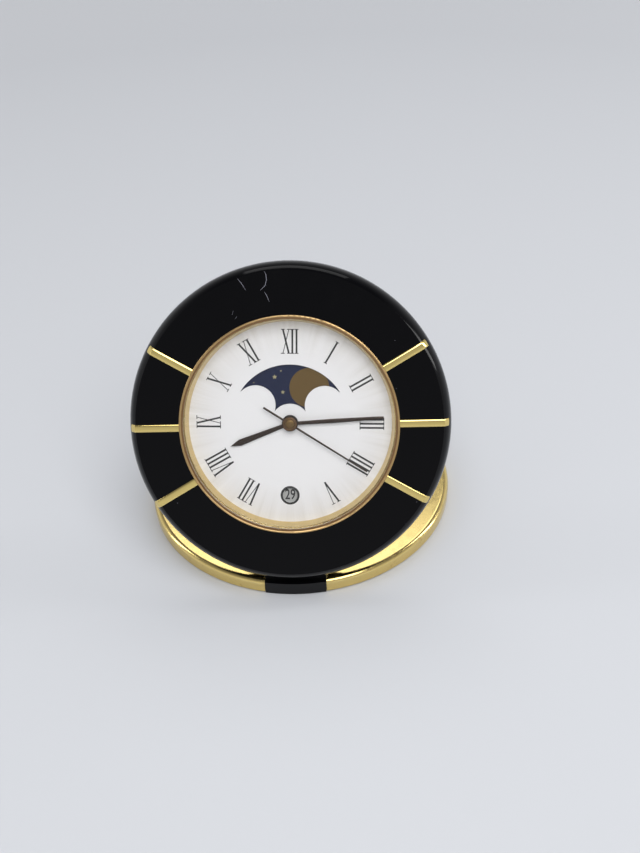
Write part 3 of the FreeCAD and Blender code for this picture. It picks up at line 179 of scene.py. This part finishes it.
# Gilt bars in the face
# Six half-round bars pressed into slots of the lacquered ring, polished gilt. Each follows the face
# outwards and turns down with its rounded rim, so the eye gets two bright edges with a dark line between
# them.
FACE = 10.0
BAR_ANGLES = (0, 30, 150, 180, 210, 330)
BAR_HALF = 0.9
BAR_RISE = 0.25
BAR_SINK = 0.02
BAR_START = 25.45
FACE_EDGE = 35.5
RIM_FOOT = 5.5
SLOT_FLOOR = 8.8
CASE_RADIUS = 37.5


def on_head(points):
    """Head millimetres to world metres."""
    matrix = np.array(HEAD)
    points = np.asarray(points, dtype=float)
    return points @ matrix[:3, :3].T + matrix[:3, 3]


def grid_faces(rows, columns, rows_closed=False, columns_closed=False, flipped=False):
    """Four-cornered faces between the points of a grid, row i and column k being point i * columns + k. A
    closed way joins its last row or column to its first."""
    row = np.arange(rows if rows_closed else rows - 1)[:, None]
    column = np.arange(columns if columns_closed else columns - 1)[None, :]
    next_row = (row + 1) % rows
    next_column = (column + 1) % columns
    corners = [row * columns + column, next_row * columns + column,
               next_row * columns + next_column, row * columns + next_column]
    if flipped:
        corners = [corners[0], corners[3], corners[2], corners[1]]
    return np.stack(np.broadcast_arrays(*corners), axis=-1).reshape(-1, 4).tolist()


def piece(name, points, faces, material, body, slot, smooth=True):
    """A mesh of head-frame points, with its material and body; its finish, the slot, is not used. Edges past 35
    degrees stay sharp.
    """
    mesh = bpy.data.meshes.new(name)
    mesh.from_pydata(on_head(points), [], faces)
    mesh.materials.append(material)
    mesh.polygons.foreach_set("use_smooth", [smooth] * len(mesh.polygons))
    mesh.set_sharp_from_angle(angle=math.radians(35))
    mesh.update()
    thing = bpy.data.objects.new(name, mesh)
    bpy.context.scene.collection.objects.link(thing)
    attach(thing, body)
    return thing


def half_round_bar(angle):
    """Grid of a bar. Along it runs the face, then the rim's arc, whose radius is (a^2 + b^2) / 2a and whose
    centre lies that far inside the side of the head, a being the rim's width and b its height. Across it the
    height is rise * (1 - (v / half width)^4)^0.5 less a little that is sunk, and both edges drop to the slot's
    floor."""
    a = CASE_RADIUS - FACE_EDGE
    b = FACE - RIM_FOOT
    radius = (a * a + b * b) / (2 * a)
    centre = CASE_RADIUS - radius
    straight = np.linspace(BAR_START, FACE_EDGE, 12)[:-1]
    arc = np.linspace(math.atan2(b, FACE_EDGE - centre), math.asin((SLOT_FLOOR - RIM_FOOT) / radius), 10)
    r = np.concatenate((straight, centre + radius * np.cos(arc)))[:, None]
    z = np.concatenate((np.full_like(straight, FACE), RIM_FOOT + radius * np.sin(arc)))[:, None]
    out = np.concatenate((np.zeros_like(straight), np.cos(arc)))[:, None]
    up = np.concatenate((np.ones_like(straight), np.sin(arc)))[:, None]
    across = np.sin(np.linspace(-math.pi / 2, math.pi / 2, 15)) * BAR_HALF
    rise = BAR_RISE * np.sqrt(np.maximum(0.0, 1 - (across / BAR_HALF) ** 4)) - BAR_SINK
    side = np.pad(across, 1, mode="edge") + 0 * r
    lift = np.pad(rise, 1)
    along = r + out * lift
    height = np.maximum(z + up * lift, SLOT_FLOOR)
    height[:, [0, -1]] = SLOT_FLOOR
    turn = math.radians(angle)
    grid = np.stack((along * math.cos(turn) - side * math.sin(turn),
                     along * math.sin(turn) + side * math.cos(turn), height), axis=-1)
    rows, wide = height.shape
    ends = [list(range(wide)), list(range(rows * wide - 1, (rows - 1) * wide - 1, -1))]
    return grid.reshape(-1, 3), grid_faces(rows, wide, columns_closed=True, flipped=True) + ends


gilt_bright, tree, shader = finish_of("gilt bright", "E6CF84", Metallic=1.0)
rubbed = noise(tree, millimetres(tree), 0.9, 4.0)
tree.links.new(between(tree, rubbed, 0.05, 0.14, 0.35, 0.7), shader.inputs["Roughness"])
for index, angle in enumerate(BAR_ANGLES, start=1):
    points, faces = half_round_bar(angle)
    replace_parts(piece(f"gilt_bar_{index}", points, faces, gilt_bright, "head", "gilt"), f"inlay_bar_{index}")


# Lacquered ring and hinge block
# Deep black lacquer, thick and polished until it mirrors. Rubbing has left a faint haze and a few pale
# specks and scuffs in it, most of them near the top. The hinge block is black too, but duller.
LACQUER = "040406"
SPECK = "56565C"
lacquer, tree, shader = finish_of("black lacquer", LACQUER, IOR=1.5, Specular_IOR_Level=0.12)
mm = millimetres(tree)
cells = add(tree, "ShaderNodeTexVoronoi", Vector=mm, Scale=0.45)
speck = add(tree, "ShaderNodeMath", operation="LESS_THAN", i0=cells.outputs["Distance"], i1=0.05)
chosen = add(tree, "ShaderNodeSeparateColor", Color=cells.outputs["Color"])
rare = add(tree, "ShaderNodeMath", operation="LESS_THAN", i0=chosen.outputs[0], i1=0.12)
shown = add(tree, "ShaderNodeMath", operation="MULTIPLY", i0=speck.outputs[0], i1=rare.outputs[0])
tree.links.new(mixed(tree, shown.outputs[0], srgb(LACQUER), srgb(SPECK)), shader.inputs["Base Color"])
tree.links.new(between(tree, noise(tree, mm, 0.25, 4.0), 0.06, 0.13, 0.35, 0.7), shader.inputs["Roughness"])
dress(lacquer, "lacquered_case")

block_black, tree, shader = finish_of("black block", "050507", Roughness=0.28, Specular_IOR_Level=0.3)
bumped(tree, shader, noise(tree, millimetres(tree), 6.0, 3.0), 0.15, 0.02)
dress(block_black, "hinge_block")

# scuffs: hair-thin rubbed lines, each a short curve given by its turning points in head millimetres
SCUFFS = (
    ((-4.5, 35.3), (-4.15, 34.6), (-4.05, 33.4), (-4.4, 32.1), (-5.5, 31.1)),
    ((-10.6, 33.8), (-9.8, 32.8), (-8.8, 31.2)),
    ((-4.6, 30.7), (-4.1, 29.8), (-3.6, 28.5)),
    ((-11.8, 26.6), (-12.1, 25.7)),
    ((-11.5, 24.8), (-11.05, 25.3)),
)
SCUFF_WIDTH = 0.16
SCUFF_TIP = 0.3
SCUFF_HEIGHT = FACE + 0.004


def scuff(line):
    """Flat strip along a line: at each turning point two points, half a width to each side, square to the
    chord between its neighbours. The two ends are narrower."""
    way = np.array(line)
    beyond = np.pad(way, ((1, 1), (0, 0)), mode="edge")
    chord = beyond[2:] - beyond[:-2]
    side = np.stack((-chord[:, 1], chord[:, 0]), axis=-1) / np.hypot(*chord.T)[:, None] * SCUFF_WIDTH / 2
    side[[0, -1]] *= SCUFF_TIP
    flat = np.stack((way - side, way + side), axis=1).reshape(-1, 2)
    return np.column_stack((flat, np.full(len(flat), SCUFF_HEIGHT))), grid_faces(len(way), 2, flipped=True)


def joined(parts):
    """Several sets of points and faces as one."""
    points = []
    faces = []
    for part_points, part_faces in parts:
        faces += [[len(points) + corner for corner in face] for face in part_faces]
        points += list(part_points)
    return points, faces


scuffed = finish_of("rubbed lacquer", "6E6E78", Roughness=0.6)[0]
points, faces = joined([scuff(line) for line in SCUFFS])
piece("scuff_marks", points, faces, scuffed, "head", "black_lacquer")


# Gasket and glass
# An amber nylon ring seals a flat clear glass into the bezel. The glass mirrors a little from the front and
# more the flatter one looks along it, and lets the rest of the light through.
GLASS_RADIUS = 24.5
GLASS_LOW = 8.75
GLASS_HIGH = 10.25
BEVEL = (0.12, 0.15)
POLE = 0.01


def turned(profile, count, centre=(0.0, 0.0)):
    """Ring swept from a closed (radius, height) outline: point k of turn i is (r cos t, r sin t, z), t being
    2 pi i / n."""
    r, z = np.array(profile).T
    turn = 2 * math.pi * np.arange(count)[:, None] / count
    grid = np.stack((centre[0] + r * np.cos(turn), centre[1] + r * np.sin(turn), z + 0 * turn), axis=-1)
    return grid.reshape(-1, 3), grid_faces(count, len(r), rows_closed=True, columns_closed=True)


nylon = finish_of("amber nylon", "6E4E28", Roughness=0.42)[0]
dress(nylon, "crystal_gasket")

glass, tree, shader = finish_of("mineral glass", "F4F8F8", Metallic=1.0, Roughness=0.02)
slant = add(tree, "ShaderNodeLayerWeight", Blend=0.5)
steep = add(tree, "ShaderNodeMath", operation="POWER", i0=slant.outputs["Facing"], i1=5.0)
tree.links.new(between(tree, steep.outputs[0], 0.02, 1.0), shader.inputs["Alpha"])
outline = ((POLE, GLASS_LOW), (GLASS_RADIUS, GLASS_LOW), (GLASS_RADIUS, GLASS_HIGH - BEVEL[1]),
           (GLASS_RADIUS - BEVEL[0], GLASS_HIGH), (POLE, GLASS_HIGH))
points, faces = turned(outline, 192)
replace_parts(piece("flat_glass", points, faces, glass, "head", "glass"), "crystal")


# Dial plate
# Thin metal, silvered and almost white, with rays so fine that they only show in the light. Their sheen and
# shade are painted into the colour as soft grey streaks that grow towards the edge. It lies flat under the ring
# below the glass.
SILVER = "EDECEC"
SHEEN_SHADE_GREY = "D6D3CE"
silvered, tree, shader = finish_of("silvered dial", SILVER, Roughness=0.42)
local = head_millimetres(tree)
flat = add(tree, "ShaderNodeSeparateXYZ", Vector=local)
around = add(tree, "ShaderNodeMath", operation="ARCTAN2", i0=flat.outputs[1], i1=flat.outputs[0])
ray = add(tree, "ShaderNodeCombineXYZ", X=around.outputs[0])
rays = noise(tree, ray.outputs[0], 9.0, 4.0, 0.7)
level = add(tree, "ShaderNodeVectorMath", operation="MULTIPLY", i0=local, i1=(1.0, 1.0, 0.0))
spread = add(tree, "ShaderNodeVectorMath", operation="LENGTH", i0=level.outputs[0])
edge = between(tree, spread.outputs["Value"], 0.0, 1.0, 15.0, 24.0)
# painted sheen and shade: grey streaks along the rays, stronger towards the edge
ray_sheen_mask = between(tree, rays, 0.0, 1.0, 0.35, 0.75)
painted_sheen_shade = add(tree, "ShaderNodeMath", operation="MULTIPLY", i0=ray_sheen_mask, i1=edge)
tree.links.new(mixed(tree, painted_sheen_shade.outputs[0], srgb(SILVER), srgb(SHEEN_SHADE_GREY)), shader.inputs["Base Color"])
dress(silvered, "dial")


# Hour numerals
# Roman numerals printed in black on the dial, tops outwards. Each letter has one firm stroke and hairlines
# for the rest and for its serifs, and the six gives way to the date window.
DIAL_TOP = 6.1
DIAL_TURN = math.radians(1.75)
INK = 0.015
INNER = 16.2
OUTER = 21.9
FIRM = 0.42
HAIR = 0.17
SERIF_WIDE = 0.9
LETTER_GAP = 0.3
ADVANCE = {"I": 0.97, "V": 2.0, "X": 2.0}
NUMERALS = {0: "XII", 1: "I", 2: "II", 3: "III", 4: "IIII", 5: "V",
            7: "VII", 8: "VIII", 9: "IX", 10: "X", 11: "XI"}

# black print for the numerals and days; on the date window's rim it is painted shadow as well
print_and_rim_shadow = finish_of("black print and painted rim shadow", "0E0B0A", Roughness=0.5)[0]


def on_dial(hour, x, r):
    """Head millimetres of a point r from the middle and x clockwise of an hour's own line."""
    turn = hour * math.pi / 6 + DIAL_TURN
    return (r * math.sin(turn) + x * math.cos(turn), r * math.cos(turn) - x * math.sin(turn), DIAL_TOP + INK)


def stroke(points, faces, hour, start, end, width):
    """Add a straight stroke between two (x, r) places, its ends cut along the baseline."""
    first = len(points)
    for x, r in (start, end):
        points += [on_dial(hour, x - width / 2, r), on_dial(hour, x + width / 2, r)]
    faces.append((first, first + 1, first + 3, first + 2))


def serif(points, faces, hour, x, r, width):
    """Add a hairline across the end of a stroke."""
    inside = r - HAIR if r > INNER else r
    first = len(points)
    for across, along in ((-1, 0), (1, 0), (1, 1), (-1, 1)):
        points.append(on_dial(hour, x + across * width / 2, inside + along * HAIR))
    faces.append((first, first + 1, first + 2, first + 3))


points = []
faces = []
for hour, word in NUMERALS.items():
    x = -sum(ADVANCE[letter] for letter in word) / 2
    for letter in word:
        wide = ADVANCE[letter]
        middle = x + wide / 2
        reach = wide / 2 - LETTER_GAP
        if letter == "I":
            stroke(points, faces, hour, (middle, INNER), (middle, OUTER), FIRM)
            ends = ((middle, INNER), (middle, OUTER))
        if letter == "V":
            stroke(points, faces, hour, (middle, INNER), (middle - reach, OUTER), FIRM)
            stroke(points, faces, hour, (middle + 0.05, INNER), (middle + reach, OUTER), HAIR)
            ends = ((middle - reach, OUTER), (middle + reach, OUTER))
        if letter == "X":
            stroke(points, faces, hour, (middle + reach, INNER), (middle - reach, OUTER), FIRM)
            stroke(points, faces, hour, (middle - reach, INNER), (middle + reach, OUTER), HAIR)
            ends = tuple((middle + side * reach, r) for side in (-1, 1) for r in (INNER, OUTER))
        for place, r in ends:
            serif(points, faces, hour, place, r, SERIF_WIDE)
        x += wide
piece("hour_numerals", points, faces, print_and_rim_shadow, "head", "dial_silver", smooth=False)


# Date window rim and date ring
# The window has a dark bevelled rim, and its dark ring is also painted shadow round the window's edge. Behind
# it turns a grey ring printed with the days of the month, each upright when it reaches the window.
WINDOW_AT = 17.3
DAYS = 31
TODAY = 29
RING_TOP = 5.55
DIGIT_WIDE = 2.5
DIGIT_TALL = 3.5


def dial_spot(r, degrees):
    """X and Y of a radius and a clock angle on the dial."""
    turn = math.radians(degrees) + DIAL_TURN
    return (r * math.sin(turn), r * math.cos(turn))


# dark rim ring: the bevel, with painted shadow round the window
outline = ((1.72, DIAL_TOP), (1.74, DIAL_TOP + 0.1), (2.05, DIAL_TOP + 0.12), (2.24, DIAL_TOP + 0.01),
           (2.2, DIAL_TOP))
points, faces = turned(outline, 64, dial_spot(WINDOW_AT, 180))
piece("date_window_rim_and_shadow", points, faces, print_and_rim_shadow, "head", "dial_silver")

grey_ring = finish_of("grey date ring", "A9A9A6", Roughness=0.5)[0]
dress(grey_ring, "date_ring")


def day_number(day):
    """A day as flat letters, turned by (today - day) / 31 of a circle from the window."""
    curve = bpy.data.curves.new("day", "FONT")
    curve.body = str(day)
    curve.align_x = "CENTER"
    curve.align_y = "CENTER"
    curve.resolution_u = 3
    curve.offset = 0.012
    holder = bpy.data.objects.new("day", curve)
    mesh = bpy.data.meshes.new_from_object(holder)
    letters = np.empty(len(mesh.vertices) * 3, dtype=np.float32)
    mesh.vertices.foreach_get("co", letters)
    faces = [list(polygon.vertices) for polygon in mesh.polygons]
    bpy.data.meshes.remove(mesh)
    bpy.data.objects.remove(holder)
    bpy.data.curves.remove(curve)
    x, y = letters.astype(float).reshape(-1, 3)[:, :2].T
    x = x * DIGIT_WIDE
    y = y * DIGIT_TALL - WINDOW_AT
    turn = 2 * math.pi * (TODAY - day) / DAYS - DIAL_TURN
    points = (x * math.cos(turn) - y * math.sin(turn), x * math.sin(turn) + y * math.cos(turn),
              np.full_like(x, RING_TOP + INK))
    return np.column_stack(points), faces


points, faces = joined([day_number(day) for day in range(1, DAYS + 1)])
piece("day_print", points, faces, print_and_rim_shadow, "date_ring", "printed_ring", smooth=False)


# Moon disc
# A deep blue enamelled disc with two gold moons half a turn apart and a scatter of small gold stars, seen
# through the arched opening. The moons and stars are printed foil, and the moons' gold is darkened with painted
# shade.
enamel, tree, shader = finish_of("night blue enamel", "021036", Specular_IOR_Level=0.25)
tree.links.new(between(tree, noise(tree, millimetres(tree), 0.8), 0.3, 0.42), shader.inputs["Roughness"])
dress(enamel, "moon_disc")

FOIL_TOP = RING_TOP + 0.012
MOON_RADIUS = 4.65
MOON_ORBIT = 9.36
MOON_TURN = math.radians(59.9)
STAR_WAIST = 0.42
STARS = ((-3.3, 10.8, 0.62), (-1.5, 7.2, 0.55), (-1.8, 12.2, 0.26), (-6.6, 8.6, 0.3), (-8.2, 9.6, 0.2),
         (-4.9, 6.2, 0.22))


def on_disc(x, y):
    """One flat face on the disc, from the places of its corners."""
    return np.column_stack((x, y, np.full_like(x, FOIL_TOP))), [list(range(len(x)))]


def moon(turn):
    """A full circle whose middle lies at a turn round the disc."""
    edge = np.linspace(0, 2 * math.pi, 72, endpoint=False)
    return on_disc(MOON_ORBIT * math.cos(turn) + MOON_RADIUS * np.cos(edge),
                   MOON_ORBIT * math.sin(turn) + MOON_RADIUS * np.sin(edge))


def star(x, y, size, turn):
    """Five points: ten corners 36 degrees apart, every second one drawn in, carried a turn round the disc."""
    corner = np.arange(10)
    reach = size * np.where(corner % 2, STAR_WAIST, 1.0)
    middle_x = x * math.cos(turn) - y * math.sin(turn)
    middle_y = x * math.sin(turn) + y * math.cos(turn)
    points_at = corner * math.pi / 5
    return on_disc(middle_x + reach * np.sin(points_at), middle_y + reach * np.cos(points_at))


# the moons' foil colour carries painted shade
foil = finish_of("gold foil darkened by painted shade", "5E460F", Metallic=0.3, Roughness=0.5)[0]
pale_foil = finish_of("pale gold foil", "A39A74", Metallic=0.3, Roughness=0.5)[0]
points, faces = joined([moon(MOON_TURN + half) for half in (0, math.pi)])
piece("printed_moons", points, faces, foil, "moon_disc", "printed_disc", smooth=False)
points, faces = joined([star(x, y, size, half) for half in (0, math.pi) for x, y, size in STARS])
piece("printed_stars", points, faces, pale_foil, "moon_disc", "printed_disc", smooth=False)


# Hands
# Dark bronzed and polished, with a ridge down the middle, so one side is always lighter than the other.
# Each hand's ring sits on its own pipe. A turned cap with a dark rim, a groove and a low brassy dome covers
# the middle, and goes round with the seconds hand.
HAND_THICK = 0.18
HOUR = (248.0, 6.5, (1.46, 1.9), ((0.6, 0.42), (12.6, 0.76), (15.0, 0.02)))
MINUTE = (85.7, 6.98, (0.91, 1.34), ((0.6, 0.4), (9.8, 0.5), (20.0, 0.37), (21.8, 0.3)))
SECOND = (121.6, 7.46, (0.26, 0.68), ((0.4, 0.24), (21.2, 0.18)))
SECOND_TAIL = (SECOND[0] + 180, *SECOND[1:3], ((0.4, 0.24), (7.2, 0.24)))
CAP_BASE = 7.64
CAP_RIM = ((1.1, 0.0), (1.65, 0.0), (1.65, 0.2), (1.52, 0.34), (1.3, 0.4), (1.14, 0.36), (1.1, 0.28))
CAP_DOME = ((POLE, 0.0), (1.09, 0.0), (1.09, 0.26), (0.95, 0.36), (0.6, 0.42), (POLE, 0.44))


def ridged_hand(degrees, low, ring, stations):
    """Grid of a hand: at each (along, half width) five points, two low edges, two shoulders and the ridge. The
    ring of its hub, from the inner to the outer radius, follows."""
    turn = math.radians(degrees) + DIAL_TURN
    ahead = np.array((math.sin(turn), math.cos(turn)))
    right = np.array((math.cos(turn), -math.sin(turn)))
    along, half = np.array(stations).T[:, :, None]
    side = np.array((-1.0, -1.0, 0.0, 1.0, 1.0))
    rise = np.array((0.0, 0.3, 1.0, 0.3, 0.0))
    flat = along[..., None] * ahead + (half * side)[..., None] * right
    height = low + HAND_THICK * rise + 0 * along
    blade = np.concatenate((flat, height[..., None]), axis=-1).reshape(-1, 3)
    wide = len(side)
    ends = [list(range(wide - 1, -1, -1)), list(range(len(blade) - wide, len(blade)))]
    inner, outer = ring
    top = low + HAND_THICK
    hub = turned(((inner, low), (outer, low), (outer, top), (inner, top)), 48)
    return joined([(blade, grid_faces(len(stations), wide, columns_closed=True, flipped=True) + ends), hub])


bronzed = finish_of("dark bronze", "2E2016", Metallic=0.6, Roughness=0.35)[0]
for name, hand in (("hour", HOUR), ("minute", MINUTE)):
    made = piece(f"{name}_hand_ridged", *ridged_hand(*hand), bronzed, name, "bronzed", smooth=False)
    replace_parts(made, f"{name}_hand")
# the tail brings a hub ring of its own, which lies on the blade's
points, faces = joined([ridged_hand(*SECOND), ridged_hand(*SECOND_TAIL)])
made = piece("second_hand_slim", points, faces, bronzed, "second", "bronzed", smooth=False)
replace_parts(made, "second_hand")

brown_bronze = finish_of("brown bronze", "5E4428", Metallic=0.7, Roughness=0.4)[0]
points, faces = turned([(r, CAP_BASE + z) for r, z in CAP_RIM], 96)
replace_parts(piece("cap_rim", points, faces, brown_bronze, "second", "bronzed"), "hand_cap")
turned_bronze, tree, shader = finish_of("turned bronze", "6E5630", Metallic=0.8, Roughness=0.42)
bumped(tree, shader, noise(tree, millimetres(tree), 3.0, 2.0), 0.3, 0.03)
points, faces = turned([(r, CAP_BASE + z) for r, z in CAP_DOME], 96)
piece("cap_dome", points, faces, turned_bronze, "second", "bronzed")


# Steel, brass and copper inside
# Turned steel for pins, screws, springs and the cell, plain brass for plates and wheels, wound copper and
# green laminate. Little of it shows, but it is finished for anyone who takes the clock apart.
steel, tree, shader = finish_of("turned steel", "B4B6BA", Metallic=1.0, Roughness=0.3)
bumped(tree, shader, noise(tree, millimetres(tree), 4.0, 2.0), 0.1, 0.01)
dress(steel, "hinge_pin", "hinge_washers", "hinge_screws", "housing_screws", "bridge_screws", "cannon_pinion",
      "rotor", "stator", "coil_core", "quartz_can", "battery", "battery_contact", "date_corrector",
      "moon_corrector", "corrector_springs")
brass = finish_of("plain brass", "C9A45C", Metallic=1.0, Roughness=0.36)[0]
dress(brass, "main_plate", "train_bridge", "hour_wheel", "minute_wheel", "day_wheel", "second_wheel",
      "step_wheel", "third_wheel", "centre_wheel")
copper = finish_of("enamelled copper", "A8532C", Metallic=0.9, Roughness=0.4)[0]
dress(copper, "coil_winding")
laminate = finish_of("green laminate", "1E5C3A", Roughness=0.4)[0]
dress(laminate, "circuit_board")
natural = finish_of("natural moulding", "D8D4CA", Roughness=0.55)[0]
dress(natural, "movement_holder")


# Rear housing and battery cover
# Moulded black plastic with a fine even grain that scatters light softly. The housing is screwed into the
# ring, and the cover turns in it on two lugs.
plastic, tree, shader = finish_of("grained black plastic", "141416", Roughness=0.55)
bumped(tree, shader, noise(tree, millimetres(tree), 5.0, 4.0, 0.7), 0.5, 0.03)
dress(plastic, "rear_housing", "battery_cover")


# Setting knob's grip
# A straight knurl round the rim of the gilt knob at the back, cut on the lathe, so that a fingertip can
# turn it through the housing's opening.
KNOB_PLACE = (9.6, 0.0)
KNOB_RADIUS = 3.0
KNURL_RISE = 0.1
KNURL_WAVE = (0.5, 1.0, 0.5, 0.05)
KNURL_HEIGHTS = (0.12, 0.55, 0.05, 0.62)
KNURLS = 40


def knurled_band():
    """Four rings of points. On the first two the radius rises and falls once for each tooth of the knurl. The
    other two close the band below and above, just inside the knob."""
    count = KNURLS * len(KNURL_WAVE)
    step = np.arange(count)
    turn = 2 * math.pi * step / count
    toothed = KNOB_RADIUS + KNURL_RISE * np.array(KNURL_WAVE)[step % len(KNURL_WAVE)]
    plain = np.full(count, KNOB_RADIUS - 0.02)
    r = np.stack((toothed, toothed, plain, plain))
    z = np.array(KNURL_HEIGHTS)[:, None] + 0 * r
    grid = np.stack((KNOB_PLACE[0] + r * np.cos(turn), KNOB_PLACE[1] + r * np.sin(turn), z), axis=-1)
    low, high = np.array(((0, 1), (2, 0), (1, 3), (3, 2))).T * count
    here = step[:, None]
    ahead = (here + 1) % count
    faces = np.stack((low + here, low + ahead, high + ahead, high + here), axis=-1).reshape(-1, 4)
    return grid.reshape(-1, 3), faces.tolist()


points, faces = knurled_band()
piece("knob_knurl", points, faces, gilt_satin, "setting_knob", "gilt_satin", smooth=False)


# Flock and felt
# Short black flock lines the recess where the housing beds down, and pressed felt under the foot keeps it
# from scratching the table. Both are glued in, and drink the light.
flock, tree, shader = finish_of("black flock", "101012", Roughness=1.0, Sheen_Weight=0.6, Sheen_Roughness=0.4)
bumped(tree, shader, noise(tree, millimetres(tree), 7.0, 4.0, 0.8), 0.9, 0.06)
dress(flock, "recess_lining")
felt, tree, shader = finish_of("pressed felt", "1C2620", Roughness=1.0, Sheen_Weight=0.4, Sheen_Roughness=0.5)
bumped(tree, shader, noise(tree, millimetres(tree), 3.0, 5.0, 0.8), 0.9, 0.08)
dress(felt, "foot_pad")


# Stage: floor, light and camera
# A plain pale floor under four soft lamps. Floor and horizon look pale to the camera, in mirrors and through
# glass. As a light the sky is dim low down and brighter overhead. The camera stands where the photograph's did.
FLOOR_REACH = 4.0
SKY_LOW = (0.2, 0.2, 0.21, 1)
SKY_HIGH = (0.62, 0.63, 0.65, 1)
HORIZON = (0.72, 0.73, 0.75, 1)


def directly_mirrored_or_through(tree):
    """1 for a ray from the camera, off a mirror or through glass, 0 for one that lights the object."""
    ray = add(tree, "ShaderNodeLightPath")
    either = add(tree, "ShaderNodeMath", operation="MAXIMUM",
                 i0=ray.outputs["Is Camera Ray"], i1=ray.outputs["Is Glossy Ray"])
    return add(tree, "ShaderNodeMath", operation="MAXIMUM",
               i0=either.outputs[0], i1=ray.outputs["Is Transmission Ray"]).outputs[0]


floor_paint, tree, shader = finish_of("pale floor", "C9CBCF", Roughness=0.8)
seen = directly_mirrored_or_through(tree)
place = add(tree, "ShaderNodeTexCoord")
away = add(tree, "ShaderNodeVectorMath", operation="LENGTH", i0=place.outputs["Object"])
filled = between(tree, away.outputs["Value"], 0.0, 0.45, 0.35, 1.6)
glow = add(tree, "ShaderNodeMath", operation="MULTIPLY", i0=filled, i1=seen)
tree.links.new(glow.outputs[0], shader.inputs["Emission Strength"])
floor_mesh = bpy.data.meshes.new("floor")
corners = np.array(((-1, -1, 0), (1, -1, 0), (1, 1, 0), (-1, 1, 0))) * FLOOR_REACH
floor_mesh.from_pydata(corners, [], [(0, 1, 2, 3)])
floor_mesh.materials.append(floor_paint)
floor = bpy.data.objects.new("floor", floor_mesh)
bpy.context.scene.collection.objects.link(floor)

world = bpy.data.worlds.new("studio")
bpy.context.scene.world = world
world.use_nodes = True
tree = world.node_tree
sky = tree.nodes["Background"]
place = add(tree, "ShaderNodeTexCoord")
height = add(tree, "ShaderNodeSeparateXYZ", Vector=place.outputs["Generated"])
rise = between(tree, height.outputs[2], 0.0, 1.0, 0.3, 0.95)
glow = mixed(tree, rise, SKY_LOW, SKY_HIGH)
fall = between(tree, height.outputs[2], 0.0, 1.0, 0.2, 0.7)
backdrop = mixed(tree, fall, HORIZON, SKY_LOW)
tree.links.new(mixed(tree, directly_mirrored_or_through(tree), glow, backdrop), sky.inputs["Color"])


def softbox(name, place, aim, wide, tall, power):
    """White rectangular lamp in metres, turned towards a point."""
    lamp = bpy.data.lights.new(name, "AREA")
    lamp.shape = "RECTANGLE"
    lamp.size = wide
    lamp.size_y = tall
    lamp.energy = power
    holder = bpy.data.objects.new(name, lamp)
    holder.location = place
    holder.rotation_euler = (Vector(aim) - Vector(place)).to_track_quat("-Z", "Y").to_euler()
    bpy.context.scene.collection.objects.link(holder)


softbox("key", (0.12, -0.42, 0.7), (0, 0, 0.03), 0.6, 0.6, 4.6)
softbox("behind", (0.02, 0.55, 0.72), (0, 0, 0.02), 0.7, 0.25, 1.05)
softbox("left", (-0.6, 0.05, 0.32), (0, 0, 0.03), 0.08, 0.4, 0.5)
softbox("right", (0.6, 0.12, 0.36), (0, 0, 0.03), 0.08, 0.5, 0.9)

camera = bpy.data.cameras.new("camera")
camera.sensor_width = 36.0
camera.lens = 46.42
camera.clip_start = 0.01
camera_holder = bpy.data.objects.new("camera", camera)
camera_holder.location = (0.01694713, -0.2205329, 0.19784331)
camera_holder.rotation_euler = tuple(math.radians(angle) for angle in (51.18066907, 2.29262666, 1.02641711))
bpy.context.scene.collection.objects.link(camera_holder)
bpy.context.scene.camera = camera_holder
bpy.context.scene.view_settings.view_transform = "Standard"
